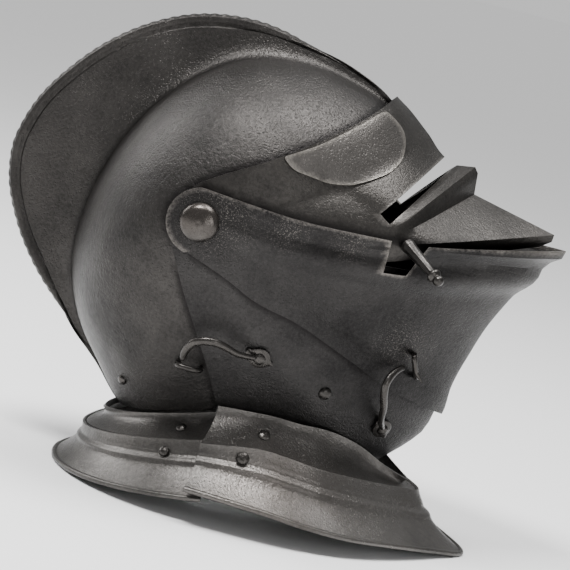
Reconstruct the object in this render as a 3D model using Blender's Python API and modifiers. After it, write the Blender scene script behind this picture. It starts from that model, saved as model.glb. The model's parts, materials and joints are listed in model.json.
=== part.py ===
# Close helmet of iron plates that turn on one pair of pivots.
# Helmet frame: the pivot axis runs along Y through the origin, the face looks along +X, +Z is up.
# The wearer's right side is at -Y. The whole helmet is then tipped nose-up onto its collar.
import math

import bmesh
import bpy
from mathutils import Matrix, Vector

# Driving sizes, in metres
REACH = 0.125            # pivot axis to the brow peak of the visor
HALF_WIDTH = 0.096       # skull at the pivots, outer face
COMB_HEIGHT = 0.058      # comb above the bowl, at its highest
COMB_THICK = 0.0072      # comb across its edge
PROW_REACH = 0.205       # pivot axis to the tip of the bevor, along X
CHIN_REACH = 0.180       # pivot axis to the throat of the chin plate
COLLAR_FRONT = 0.146     # pivot axis to the tip of the collar, along X
COLLAR_HALF = 0.112      # half of the collar's width
COLLAR_DROP = 0.208      # pivot axis down to the collar's tip
PLATE = 0.0016           # plate thickness
LAYER_GAP = 0.0012       # free space between plates at the pivots
SKIN_GAP = 0.0004        # free space between fixed neighbours
FACET_SAG = 0.0006       # how far the plates' facets lie inside their true curve
LOBE_RADIUS = 0.0195     # round ends of the moving plates at the pivots
PIVOT_RADIUS = 0.0114    # domed pivot head
PIVOT_SHANK = 0.0042
PIVOT_SLACK = 0.0006
WASHER_GAP = 0.0022      # inner washers stand off the curved bowl
RIVET_RADIUS = 0.0036
HOOK_WIRE = 0.0020       # radius of the hooks' bars
PEG_LENGTH = 0.036
PEG_RADIUS = 0.0042
NOSE_UP = 14.0           # degrees that the helmet leans back as it stands

PITCH = PLATE + LAYER_GAP
CHIN_HALF = HALF_WIDTH + PITCH
VISOR_HALF = HALF_WIDTH + 2 * PITCH
BEVOR_HALF = HALF_WIDTH + 3 * PITCH

for old in list(bpy.data.objects):
    bpy.data.objects.remove(old, do_unlink=True)

COLLECTION = bpy.data.collections.new("close_helmet")
CUTTERS = bpy.data.collections.new("cutters")
bpy.context.scene.collection.children.link(COLLECTION)
bpy.context.scene.collection.children.link(CUTTERS)

# Skull sections round the pivots.
# Columns: angle in degrees from forward, bowl and edge as shares of REACH, comb as a share of COMB_HEIGHT.
SKULL = [
    (0, 0.95, 0.00), (20, 0.960, 0.01), (32, 0.935, 0.04), (45, 0.865, 0.105), (61, 0.795, 0.200),
    (78, 0.730, 0.375), (98, 0.640, 0.615), (111, 0.600, 0.725), (124, 0.575, 0.815),
    (138, 0.562, 0.905), (150, 0.567, 0.975), (160, 0.580, 0.995), (171, 0.610, 0.915),
    (184, 0.662, 0.710), (197, 0.735, 0.465), (208, 0.800, 0.270), (220, 0.873, 0.100),
    (232, 0.950, 0.015), (242, 1.050, 0.000), (254, 1.150, 0.000), (270, 1.200, 0.000),
    (300, 1.220, 0.000), (330, 1.080, 0.000),
]

# Chin plate sections. Columns: angle, reach, keel (2 round, 1 sharp). It follows the skull where it laps
# over it, and the bevor where it lies inside it.
CHIN = [
    (-95, 1.2283 * REACH, 2.00), (-85, 1.2355 * REACH, 1.95), (-72, 0.905 * CHIN_REACH, 1.75),
    (-62, 0.985 * CHIN_REACH, 1.50), (-55, 1.000 * CHIN_REACH, 1.35), (-48, 1.008 * CHIN_REACH, 1.28),
    (-44, 0.8693 * PROW_REACH, 1.25), (-38, 0.8341 * PROW_REACH, 1.22), (-30, 0.8210 * PROW_REACH, 1.20),
    (-12, 0.8166 * PROW_REACH, 1.20), (20, 0.8166 * PROW_REACH, 1.20), (90, 0.6146 * PROW_REACH, 1.6),
    (180, 0.6146 * PROW_REACH, 2.00), (240, 1.152 * REACH, 2.00),
]

# Bevor sections. Columns: angle, reach as a share of PROW_REACH, keel.
BEVOR = [
    (-95, 0.80, 1.9), (-62, 0.915, 1.5), (-50, 0.905, 1.35), (-42.7, 0.888, 1.25),
    (-37.5, 0.856, 1.22), (-31, 0.8455, 1.20), (-24, 0.853, 1.20), (-17, 0.889, 1.20),
    (-13.5, 0.918, 1.20), (-10, 0.963, 1.20), (-7.5, 1.010, 1.20), (0, 1.010, 1.20),
    (30, 0.95, 1.3), (90, 0.75, 1.8), (180, 0.70, 2.0), (240, 0.75, 2.0),
]

# Visor sections. Columns: angle, reach, keel. It follows the bevor where it lies inside it.
VISOR = [
    (-20, 0.8293 * PROW_REACH, 1.20), (-14.5, 0.8537 * PROW_REACH, 1.20), (-10, 0.8963 * PROW_REACH, 1.20),
    (-6, 0.9268 * PROW_REACH, 1.20), (0, 0.8720 * PROW_REACH, 1.22), (6, 0.7744 * PROW_REACH, 1.28),
    (12, 1.115 * REACH, 1.40), (20, 1.055 * REACH, 1.55), (28, 1.018 * REACH, 1.70),
    (32, 1.000 * REACH, 1.75), (45, 0.985 * REACH, 1.85), (90, 0.90 * REACH, 2.0),
    (180, 0.80 * REACH, 2.0), (270, 1.00 * REACH, 2.0), (325, 0.7927 * PROW_REACH, 1.5),
]

# Side outlines. Columns: x as a share of PROW_REACH, z as a share of COLLAR_DROP.
SKULL_CUT = [
    (0.58, 0.29), (0.46, 0.225), (0.24, 0.105), (0.135, -0.02), (0.135, -0.25), (0.165, -0.515),
    (0.030, -0.530), (-0.034, -0.547), (-0.137, -0.551), (-0.23, -0.558), (-0.30, -0.566), (-0.42, -0.568),
    (-0.90, -0.50), (-0.90, 0.90), (0.60, 0.90),
]
CHIN_CUT = [
    (-0.068, -0.125), (-0.050, -0.200), (-0.027, -0.280), (0.010, -0.420), (0.030, -0.555),
    (0.170, -0.600), (0.290, -0.645), (0.400, -0.705), (0.480, -0.765), (0.60, -0.86),
    (1.05, -0.86), (1.05, -0.175), (0.80, -0.175), (0.52, -0.150), (0.27, -0.035), (0.05, 0.086),
]
BEVOR_CUT = [
    (-0.030, -0.085), (0.073, -0.155), (0.150, -0.222), (0.268, -0.283), (0.410, -0.402),
    (0.500, -0.486), (0.640, -0.585), (0.79, -0.70), (1.15, -0.71), (1.15, -0.138),
    (0.886, -0.105), (0.618, -0.080), (0.525, -0.058), (0.277, 0.001), (0.102, 0.061),
    (0.009, 0.0935),
]
VISOR_CUT = [
    (-0.040, 0.080), (0.002, 0.108), (0.090, 0.135), (0.194, 0.163), (0.310, 0.206),
    (0.387, 0.240), (0.442, 0.268), (0.488, 0.298), (0.520, 0.322), (0.66, 0.45), (1.15, 0.45),
    (1.15, -0.115), (0.94, -0.115), (0.555, -0.150), (0.27, -0.066), (-0.020, -0.0935),
]
BROW_CUT = [
    (0.224, 0.173), (0.252, 0.1375), (0.302, 0.117), (0.345, 0.098), (0.404, 0.091), (0.452, 0.101),
    (0.511, 0.120), (0.543, 0.152), (0.550, 0.197), (0.541, 0.232), (0.514, 0.267),
    (0.490, 0.288), (0.442, 0.260), (0.387, 0.232), (0.310, 0.198), (0.245, 0.179),
]

# Notch for the peg. Columns as in the side outlines.
NOTCH = [
    (0.515, -0.02), (0.522, -0.055), (0.497, -0.147), (0.558, -0.159), (0.628, -0.070), (0.632, -0.02),
]

# Median line of the prow, from the sight down. Columns as in the side outlines.
PROW = [
    (0.668, 0.111), (0.690, 0.124), (0.743, 0.119), (0.751, 0.101), (0.741, 0.041),
    (0.973, -0.074), (0.966, -0.094), (0.930, -0.108),
]


def smooth_step(before, start, end, after, gap_before, gap, gap_after, t):
    """Cubic between two table rows whose spacing may differ from their neighbours'."""
    slope_in = 0.5 * ((start - before) / gap_before + (end - start) / gap) * gap
    slope_out = 0.5 * ((end - start) / gap + (after - end) / gap_after) * gap
    if (start - before) * (end - start) <= 0:
        slope_in = 0.0
    if (end - start) * (after - end) <= 0:
        slope_out = 0.0
    keep = (1 + 2 * t) * (1 - t) ** 2
    return (keep * start + t * (1 - t) ** 2 * slope_in + (1 - keep) * end
            + t * t * (t - 1) * slope_out)


def round_table(table, angle):
    """Read a table of sections at an angle, going smoothly round the full circle."""
    rows = sorted(((row[0] % 360.0,) + tuple(row[1:]) for row in table))
    angle = angle % 360.0
    count = len(rows)
    index = count - 1
    for i in range(count):
        if rows[i][0] > angle:
            index = i - 1
            break
    picked = [rows[(index + k) % count] for k in (-1, 0, 1, 2)]
    gaps = [(picked[k + 1][0] - picked[k][0]) % 360.0 for k in range(3)]
    t = ((angle - picked[1][0]) % 360.0) / gaps[1]
    values = []
    for column in range(1, len(rows[0])):
        a, b, c, d = [row[column] for row in picked]
        values.append(smooth_step(a, b, c, d, gaps[0], gaps[1], gaps[2], t))
    return values


def section_point(reach, half, keel, share, angle):
    """A point of a plate's section: share 0 at the pivot, 1 at the median plane."""
    turn = share * math.pi / 2
    radius = reach * math.sin(turn)
    side = half * max(math.cos(turn), 0.0) ** (2.0 / keel)
    if share >= 1.0:
        side = 0.0
    ray = math.radians(angle)
    return Vector((radius * math.cos(ray), -side, radius * math.sin(ray)))


def chin_at(angle):
    reach, keel = round_table(CHIN, angle)
    return reach, CHIN_HALF, keel


def bevor_at(angle):
    reach, keel = round_table(BEVOR, angle)
    return reach * PROW_REACH, BEVOR_HALF, keel


def visor_at(angle):
    reach, keel = round_table(VISOR, angle)
    return reach, VISOR_HALF, keel


def skull_at(angle):
    bowl, comb = round_table(SKULL, angle)
    return bowl * REACH, HALF_WIDTH, 2.0


def plate_side(sections, x, z):
    """How far out, along -Y, a plate lies at a point of its side view."""
    reach, half, keel = sections(math.degrees(math.atan2(z, x)))
    share = min(math.hypot(x, z) / reach, 1.0)
    return half * (1.0 - share * share) ** (1.0 / keel)


def plate_point(sections, x, z):
    """Point and outward normal of a plate on the right side."""
    step = 0.0005
    y = plate_side(sections, x, z)
    slope_x = (plate_side(sections, x + step, z) - plate_side(sections, x - step, z)) / (2 * step)
    slope_z = (plate_side(sections, x, z + step) - plate_side(sections, x, z - step)) / (2 * step)
    normal = Vector((-slope_x, -1.0, -slope_z)).normalized()
    return Vector((x, -y, z)), normal


def side_points(table, along=PROW_REACH, down=COLLAR_DROP):
    return [(row[0] * along, row[1] * down) for row in table]


def rounded(points, rounds=2):
    """Cut the corners of a closed side outline into a smooth line."""
    for _ in range(rounds):
        cut = []
        for i, start in enumerate(points):
            end = points[(i + 1) % len(points)]
            cut.append((0.8 * start[0] + 0.2 * end[0], 0.8 * start[1] + 0.2 * end[1]))
            cut.append((0.2 * start[0] + 0.8 * end[0], 0.2 * start[1] + 0.8 * end[1]))
        points = cut
    return points


def with_lobe(points, radius, start, end):
    """Put a round lobe about the pivot between the last and the first outline point."""
    steps = 7
    arc = []
    for i in range(steps + 1):
        angle = math.radians(start + (end - start) * i / steps)
        arc.append((radius * math.cos(angle), radius * math.sin(angle)))
    return points + arc


def material(name, colour, roughness, metallic=0.9):
    made = bpy.data.materials.new(name)
    made.use_nodes = True
    shader = made.node_tree.nodes["Principled BSDF"]
    shader.inputs["Base Color"].default_value = colour + (1.0,)
    shader.inputs["Roughness"].default_value = roughness
    shader.inputs["Metallic"].default_value = metallic
    made.diffuse_color = colour + (1.0,)
    return made


def mesh_object(name, points, faces, collection=COLLECTION):
    mesh = bpy.data.meshes.new(name)
    mesh.from_pydata([tuple(p) for p in points], [], faces)
    mesh.update()
    made = bpy.data.objects.new(name, mesh)
    collection.objects.link(made)
    return made


def cutter_prism(name, points, near=-0.16, far=0.16):
    """A side outline drawn as a filled curve and extruded across the helmet."""
    curve = bpy.data.curves.new(name, "CURVE")
    curve.dimensions = "2D"
    curve.fill_mode = "BOTH"
    curve.extrude = (far - near) / 2
    spline = curve.splines.new("POLY")
    spline.points.add(len(points) - 1)
    for slot, point in zip(spline.points, points):
        slot.co = (point[0], point[1], 0.0, 1.0)
    spline.use_cyclic_u = True
    drawn = bpy.data.objects.new(name + "_curve", curve)
    CUTTERS.objects.link(drawn)
    drawn.rotation_euler = (math.radians(90), 0, 0)
    drawn.location = (0, (near + far) / 2, 0)
    return as_mesh(drawn, name, CUTTERS)


def as_mesh(drawn, name, collection):
    """Turn a curve object into one closed mesh object and remove the curve."""
    bpy.context.view_layer.update()
    evaluated = drawn.evaluated_get(bpy.context.evaluated_depsgraph_get())
    mesh = bpy.data.meshes.new_from_object(evaluated)
    made = bpy.data.objects.new(name, mesh)
    made.matrix_world = drawn.matrix_world.copy()
    collection.objects.link(made)
    weld(made)
    bpy.data.objects.remove(drawn, do_unlink=True)
    if collection is CUTTERS:
        made.hide_render = True
        made.display_type = "WIRE"
    return made


def weld(target, distance=0.00001):
    work = bmesh.new()
    work.from_mesh(target.data)
    bmesh.ops.remove_doubles(work, verts=work.verts, dist=distance)
    bmesh.ops.recalc_face_normals(work, faces=work.faces)
    work.to_mesh(target.data)
    work.free()


def boolean(target, cutter, operation, name):
    cut = target.modifiers.new(name, "BOOLEAN")
    cut.operation = operation
    cut.solver = "EXACT"
    cut.use_self = True
    cut.object = cutter


def mirror_and_thicken(target, thickness=PLATE):
    mirror = target.modifiers.new("mirror", "MIRROR")
    mirror.use_axis = (False, True, False)
    mirror.use_clip = True
    mirror.merge_threshold = 0.00002
    solid = target.modifiers.new("plate", "SOLIDIFY")
    solid.thickness = thickness
    solid.offset = -1.0
    solid.use_even_offset = True


def pivot_bore(target, name):
    mesh = bpy.data.meshes.new(name)
    work = bmesh.new()
    turn = Matrix.Rotation(math.radians(90), 4, "X")
    bmesh.ops.create_cone(work, cap_ends=True, segments=20, radius1=PIVOT_SHANK + PIVOT_SLACK,
                          radius2=PIVOT_SHANK + PIVOT_SLACK, depth=4 * HALF_WIDTH, matrix=turn)
    work.to_mesh(mesh)
    work.free()
    cutter = bpy.data.objects.new(name, mesh)
    CUTTERS.objects.link(cutter)
    cutter.hide_render = True
    cutter.display_type = "WIRE"
    boolean(target, cutter, "DIFFERENCE", "pivot_bore")


def ring_plate(name, sections, angles, shares):
    """Half of a plate as an open surface: sections round the pivot, from the pole to the median."""
    points = [Vector((0, -sections(0.0)[1], 0))]
    for angle in angles:
        reach, half, keel = sections(angle)
        points += [section_point(reach, half, keel, share, angle) for share in shares]
    return ring_mesh(name, points, len(angles), len(shares))


def ring_mesh(name, points, rows, columns, left_out=()):
    """Join a pole and closed rings of section points. Faces in left_out stay open."""
    faces = []
    for row in range(rows):
        after = (row + 1) % rows
        faces.append((0, 1 + row * columns, 1 + after * columns))
        for column in range(columns - 1):
            if (row, column) in left_out:
                continue
            a = 1 + row * columns + column
            b = 1 + after * columns + column
            faces.append((a, a + 1, b + 1, b))
    return mesh_object(name, points, faces)


# Comb section. Columns: half thickness as a share of COMB_THICK / 2, height as a share of the comb.
COMB_SECTION = [(3.0, 0.0), (2.2, 0.05), (1.5, 0.18), (1.12, 0.42), (1.0, 0.94), (0.6, 1.0)]
BOWL_SHARES = [0.14, 0.28, 0.42, 0.56, 0.70, 0.82, 0.92, 1.0]


def comb_section(angle):
    """Half of the comb's closed section, from its foot inside the bowl's plate to its edge."""
    bowl, comb = round_table(SKULL, angle)
    bowl *= REACH
    comb *= COMB_HEIGHT
    ray = math.radians(angle)
    line = []
    for thick, rise in COMB_SECTION:
        side = thick * COMB_THICK / 2
        foot = bowl * math.sqrt(1 - (side / HALF_WIDTH) ** 2)
        radius = foot + comb * rise if rise else foot - 0.4 * PLATE
        line.append(Vector((radius * math.cos(ray), -side, radius * math.sin(ray))))
    return line


def make_comb():
    angles = [33 + 7 * i for i in range(30)]
    points = []
    for angle in angles:
        right = comb_section(angle)
        points += right + [Vector((p.x, -p.y, p.z)) for p in reversed(right)]
    count = 2 * len(COMB_SECTION)
    faces = [tuple(reversed(range(count)))]
    for row in range(len(angles) - 1):
        for i in range(count):
            a = row * count + i
            b = row * count + (i + 1) % count
            faces.append((a, b, b + count, a + count))
    faces.append(tuple(range((len(angles) - 1) * count, len(angles) * count)))
    comb = mesh_object("comb", points, faces, CUTTERS)
    comb.hide_render = True
    comb.display_type = "WIRE"
    weld(comb, 0.000001)
    return comb


def make_skull():
    angles = [9 * i for i in range(40)]
    skull = ring_plate("skull", skull_at, angles, BOWL_SHARES)
    mirror_and_thicken(skull)
    boolean(skull, cutter_prism("skull_outline", rounded(side_points(SKULL_CUT), 1)), "INTERSECT", "outline")
    boolean(skull, make_comb(), "UNION", "comb")
    pivot_bore(skull, "skull_bore")
    return skull


PLATE_SHARES = BOWL_SHARES


def make_lower_bevor():
    angles = [-99 + 9 * i for i in range(12)] + [27, 63, 108, 153, 198, 234]
    plate = ring_plate("lower_bevor", chin_at, angles, PLATE_SHARES)
    mirror_and_thicken(plate)
    outline = rounded(with_lobe(side_points(CHIN_CUT), LOBE_RADIUS, 60, 205), 1)
    boolean(plate, cutter_prism("chin_outline", outline), "INTERSECT", "outline")
    pivot_bore(plate, "chin_bore")
    return plate


def make_upper_bevor():
    angles = [-62, -55, -49, -43.5, -38, -32, -27, -22, -17.5, -13, -9, -5, 2, 20]
    angles += [55, 95, 135, 175, 215, 260]
    plate = ring_plate("upper_bevor", bevor_at, angles, PLATE_SHARES)
    mirror_and_thicken(plate)
    outline = rounded(with_lobe(side_points(BEVOR_CUT), LOBE_RADIUS, 93, 240), 1)
    boolean(plate, cutter_prism("bevor_outline", outline), "INTERSECT", "outline")
    boolean(plate, cutter_prism("peg_notch", side_points(NOTCH), -0.16, -0.02), "DIFFERENCE", "notch")
    pivot_bore(plate, "bevor_bore")
    return plate


# Visor rows from the sight upward. Columns: angle where the folds start, angle at the median plane.
BROW_ROWS = [(1.6, 12.9), (6.5, 16.8), (13, 21.0), (20, 25.5), (27, 29.5), (34, 34.0), (42, 42.0), (52, 52.0),
             (64, 64.0), (85, 85.0), (110, 110.0), (140, 140.0), (170, 170.0), (200, 200.0), (230, 230.0),
             (260, 260.0), (290, 290.0), (318, 318.0), (335, 335.0)]
PROW_ANGLES = [-14.5, -11.0, -8.0, -5.6, -4.2, -3.4, -2.6, -1.8]
VISOR_SHARES = [0.14, 0.28, 0.389, 0.49, 0.60, 0.72, 0.84, 0.93, 1.0]
FOLD_COLUMN = 2
PROW_BOW = 1.25
BROW_BOW = 1.7           # how round the brow is across, just above the sight
BROW_ROUND = 26.0        # degrees above the sight where the brow's rows are round again


def prow_points(angle, tip):
    """A row of the prow: round like the cheek up to the folds, then straight to the median plane."""
    reach, half, keel = visor_at(angle)
    line = [section_point(reach, half, keel, share, angle) for share in VISOR_SHARES[:FOLD_COLUMN + 1]]
    start = line[-1]
    end = Vector((tip[0], 0.0, tip[1]))
    fold = VISOR_SHARES[FOLD_COLUMN]
    for share in VISOR_SHARES[FOLD_COLUMN + 1:]:
        part = (share - fold) / (1 - fold)
        point = start.lerp(end, part)
        point.y = start.y * (1 - part ** PROW_BOW)
        line.append(point)
    return line


def brow_points(fold_angle, median_angle, rise=0.0):
    """A row of the brow: straight in side view from the folds above the sight, round higher up."""
    fold = VISOR_SHARES[FOLD_COLUMN]
    reach, half, keel = visor_at(fold_angle)
    start = section_point(reach + rise, half + rise, keel, fold, fold_angle)
    reach = visor_at(median_angle)[0] + rise
    ray = math.radians(median_angle)
    end = Vector((reach * math.cos(ray), 0.0, reach * math.sin(ray)))
    straight = max(0.0, 1 - (fold_angle - BROW_ROWS[0][0]) / BROW_ROUND) if fold_angle < median_angle else 0.0
    line = []
    for share in VISOR_SHARES:
        part = max(0.0, (share - fold) / (1 - fold))
        angle = fold_angle + (median_angle - fold_angle) * part
        reach, half, keel = visor_at(angle)
        point = section_point(reach + rise, half + rise, keel, share, angle)
        if part:
            flat = start.lerp(end, part)
            flat.y = start.y * (1 - part ** BROW_BOW)
            point = point.lerp(flat, straight)
        line.append(point)
    return line


def make_visor():
    points = [Vector((0, -VISOR_HALF, 0))]
    tips = list(reversed(side_points(PROW)))
    for angle, tip in zip(PROW_ANGLES, tips):
        points += prow_points(angle, tip)
    for fold_angle, median_angle in BROW_ROWS:
        points += brow_points(fold_angle, median_angle)
    rows = len(PROW_ANGLES) + len(BROW_ROWS)
    sight_row = len(PROW_ANGLES) - 1
    columns = len(VISOR_SHARES)
    left_out = {(row, column) for row in (sight_row, rows - 1) for column in range(FOLD_COLUMN, columns)}
    visor = ring_mesh("visor", points, rows, columns, left_out)
    mirror_and_thicken(visor)
    visor.modifiers["plate"].use_even_offset = False
    outline = rounded(with_lobe(side_points(VISOR_CUT), LOBE_RADIUS, 250, 125), 1)
    boolean(visor, cutter_prism("visor_outline", outline), "INTERSECT", "outline")
    pivot_bore(visor, "visor_bore")
    return visor


def make_brow_plate():
    rise = PLATE + 3 * SKIN_GAP
    points = [Vector((0, -VISOR_HALF - rise, 0))]
    for fold_angle, median_angle in BROW_ROWS:
        points += brow_points(fold_angle, median_angle, rise)
    plate = ring_mesh("brow_plate", points, len(BROW_ROWS), len(VISOR_SHARES))
    solid = plate.modifiers.new("plate", "SOLIDIFY")
    solid.thickness = PLATE
    solid.offset = -1.0
    cutter = cutter_prism("brow_outline", rounded(side_points(BROW_CUT), 1), -0.16, -0.002)
    boolean(plate, cutter, "INTERSECT", "outline")
    return plate


# Rear neck plates: lines round the neck from the middle of the back to the side.
# Columns: centre x and reach back as shares of REACH at the top edge and of COLLAR_HALF below it, half width,
# height at the back and at the side as shares of COLLAR_DROP. Their top edges follow the skull's width.
STEP_HALF = (HALF_WIDTH + COLLAR_HALF) / 2
REAR_TOP = (0.0627 * REACH, 0.6317 * REACH, 0.6510 * HALF_WIDTH, -0.580, -0.5490)
REAR_STEP = (0.045 * COLLAR_HALF, 0.768 * COLLAR_HALF, 0.7808 * STEP_HALF, -0.618, -0.612)
REAR_RIM = (0.0, 0.902 * COLLAR_HALF, 0.955 * COLLAR_HALF, -0.7045, -0.757)

# Front neck plates, from the side to the middle of the front. Columns: top x, y, z, step x, y, z, rim x, y, z;
# x as shares of COLLAR_FRONT, y of HALF_WIDTH at the top, STEP_HALF and COLLAR_HALF, z of COLLAR_DROP.
FRONT = [
    (0.045, 0.7525, -0.524, -0.005, 0.8885, -0.611, -0.060, 1.010, -0.722),
    (0.247, 0.6767, -0.556, 0.205, 0.8508, -0.628, 0.240, 1.000, -0.785),
    (0.363, 0.6300, -0.582, 0.320, 0.8023, -0.656, 0.411, 0.940, -0.832),
    (0.483, 0.5215, -0.611, 0.452, 0.7108, -0.697, 0.575, 0.821, -0.875),
    (0.589, 0.3407, -0.663, 0.589, 0.5169, -0.740, 0.740, 0.589, -0.918),
    (0.690, 0.1750, -0.735, 0.712, 0.2477, -0.784, 0.890, 0.295, -0.964),
    (0.775, 0.0000, -0.788, 0.805, 0.0000, -0.815, 1.000, 0.000, -1.000),
]
FLARE_SAG = 0.005        # how far the neck plates hollow between their edges


def rear_line(row, count=11, reach=90.0):
    centre, back, half, high, low = row
    line = []
    for i in range(count):
        turn = math.radians(reach * i / (count - 1))
        drop = high + (low - high) * (1 - math.cos(turn)) ** 0.7
        line.append(Vector((centre - back * math.cos(turn), -half * math.sin(turn), COLLAR_DROP * drop)))
    return line


def front_line(first, count=13):
    """A smooth line through one group of three columns of the front table."""
    half = {0: HALF_WIDTH, 3: STEP_HALF, 6: COLLAR_HALF}[first]
    rows = [Vector((r[first] * COLLAR_FRONT, -r[first + 1] * half, r[first + 2] * COLLAR_DROP))
            for r in FRONT]
    line = []
    for i in range(count):
        along = i * (len(rows) - 1) / (count - 1)
        at = min(int(along), len(rows) - 2)
        before = rows[max(at - 1, 0)]
        after = rows[at + 2] if at + 2 < len(rows) else Vector((rows[-2].x, -rows[-2].y, rows[-2].z))
        part = along - at
        line.append(Vector([smooth_step(before[k], rows[at][k], rows[at + 1][k], after[k], 1, 1, 1, part)
                            for k in range(3)]))
    line[-1].y = 0.0
    return line


def outward(point):
    away = Vector((point.x - 0.15 * COLLAR_FRONT, point.y, 0.0))
    return away.normalized()


def flare(upper, lower, share, lift=0.0):
    """A line between two lines of the neck, hollowed by the sag and lifted outward."""
    line = []
    for start, end in zip(upper, lower):
        point = start.lerp(end, share)
        away = outward(point)
        point -= away * FLARE_SAG * 4 * share * (1 - share)
        point += away * lift
        if abs(start.y) < 1e-9:
            point.y = 0.0
        line.append(point)
    return line


def lame(name, lines):
    count = len(lines[0])
    points = [point for line in lines for point in line]
    faces = []
    for row in range(len(lines) - 1):
        for i in range(count - 1):
            a = row * count + i
            faces.append((a, a + count, a + count + 1, a + 1))
    made = mesh_object(name, points, faces)
    mirror_and_thicken(made)
    return made


OVERLAP_LIFT = PLATE + 2 * SKIN_GAP


def make_lames():
    top, step, rim = rear_line(REAR_TOP), rear_line(REAR_STEP), rear_line(REAR_RIM)
    tuck = flare(step, rim, 0.16, -0.0008)
    lame("rear_upper_lame", [top, flare(top, step, 0.5), step, tuck])
    lame("rear_lower_lame", [flare(step, rim, 0.0, OVERLAP_LIFT), flare(step, rim, 0.3, 0.8 * OVERLAP_LIFT),
                             flare(step, rim, 0.65, 0.3 * OVERLAP_LIFT), rim])
    top, step, rim = front_line(0), front_line(3), front_line(6)
    tuck = flare(step, rim, 0.12, -0.0008)
    lame("front_upper_lame", [top, flare(top, step, 0.5), step, tuck])
    lame("front_lower_lame", [flare(step, rim, 0.0, OVERLAP_LIFT), flare(step, rim, 0.3, 0.8 * OVERLAP_LIFT),
                              flare(step, rim, 0.65, 0.3 * OVERLAP_LIFT), rim])


def turned(name, profile, steps=16):
    """A round piece: a profile at +X, top to bottom, turned about Z."""
    mesh = bpy.data.meshes.new(name)
    mesh.from_pydata([(radius, 0.0, height) for radius, height in profile], [(i, i + 1) for i in
                     range(len(profile) - 1)], [])
    made = bpy.data.objects.new(name, mesh)
    COLLECTION.objects.link(made)
    screw = made.modifiers.new("turn", "SCREW")
    screw.steps = steps
    screw.render_steps = steps
    screw.use_merge_vertices = True
    screw.merge_threshold = 0.00001
    screw.use_smooth_shade = True
    return made


def stand_on(target, point, normal):
    target.location = point
    target.rotation_euler = normal.to_track_quat("Z", "Y").to_euler()


def dome(radius, height, steps=5):
    line = []
    for i in range(steps):
        turn = math.pi / 2 * i / steps
        line.append((radius * math.sin(turn), height * math.cos(turn)))
    return line + [(radius, 0.0), (0.0, 0.0)]


def make_rivet(name, point, normal, radius=RIVET_RADIUS, sag=0.0):
    rivet = turned(name, dome(radius, 0.55 * radius, 3), 10)
    stand_on(rivet, point + normal * (SKIN_GAP - sag), normal)
    return rivet


def make_pair(name, point, normal, radius=RIVET_RADIUS, sag=0.0):
    make_rivet(name + "_right", point, normal, radius, sag)
    make_rivet(name + "_left", Vector((point.x, -point.y, point.z)),
               Vector((normal.x, -normal.y, normal.z)), radius, sag)


def make_pivots():
    head = BEVOR_HALF + SKIN_GAP
    inside = HALF_WIDTH - PLATE - WASHER_GAP
    length = head - inside
    profile = dome(PIVOT_RADIUS, 0.0062, 6)[:-1]
    profile += [(PIVOT_SHANK, 0.0), (PIVOT_SHANK, -length), (2 * PIVOT_SHANK, -length),
                (2 * PIVOT_SHANK, -length - 0.002), (0.0, -length - 0.002)]
    for name, side in (("pivot_rivet_right", -1), ("pivot_rivet_left", 1)):
        rivet = turned(name, profile, 20)
        stand_on(rivet, Vector((0, side * head, 0)), Vector((0, side, 0)))


def sheet_point(upper, lower, along, share, lift=0.0):
    """Point and outward normal of a neck plate."""
    def at(a, s):
        line = flare(upper, lower, s, lift)
        index = min(int(a), len(line) - 2)
        return line[index].lerp(line[index + 1], a - index)
    point = at(along, share)
    across = at(along + 0.2, share) - point
    down = at(along, share + 0.05) - point
    normal = across.cross(down).normalized()
    if normal.dot(outward(point)) < 0:
        normal.negate()
    return point, normal


def make_rivets():
    make_pair("chin_rivet", *plate_point(chin_at, 0.330 * PROW_REACH, -0.493 * COLLAR_DROP), sag=FACET_SAG)
    make_pair("nape_rivet", *plate_point(skull_at, -0.255 * PROW_REACH, -0.470 * COLLAR_DROP), 0.0028, FACET_SAG)
    top, step, rim = rear_line(REAR_TOP), rear_line(REAR_STEP), rear_line(REAR_RIM)
    make_pair("rear_lame_rivet_upper", *sheet_point(top, step, 8.2, 0.62, 3 * SKIN_GAP), 0.0033)
    make_pair("rear_lame_rivet_lower", *sheet_point(step, rim, 8.0, 0.25, OVERLAP_LIFT + SKIN_GAP), 0.0033)
    top, step, rim = front_line(0), front_line(3), front_line(6)
    make_pair("front_lame_rivet_upper", *sheet_point(top, step, 2.2, 0.62, 3 * SKIN_GAP), 0.0039)
    make_pair("front_lame_rivet_lower", *sheet_point(step, rim, 1.6, 0.2, OVERLAP_LIFT + 2 * SKIN_GAP), 0.0039)


def bar(name, points, radius, taper=None, collection=COLLECTION):
    """A bent bar: a curve with a round section and closed ends."""
    curve = bpy.data.curves.new(name, "CURVE")
    curve.dimensions = "3D"
    curve.bevel_depth = radius
    curve.bevel_resolution = 2
    curve.use_fill_caps = True
    spline = curve.splines.new("POLY")
    spline.points.add(len(points) - 1)
    for index, (slot, point) in enumerate(zip(spline.points, points)):
        slot.co = (point[0], point[1], point[2], 1.0)
        slot.radius = taper[index] if taper else 1.0
    drawn = bpy.data.objects.new(name + "_curve", curve)
    collection.objects.link(drawn)
    return as_mesh(drawn, name, collection)


def over_plates(x, z, lift):
    side = max(plate_side(chin_at, x, z), plate_side(bevor_at, x, z))
    return Vector((x, -side - lift, z))


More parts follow.
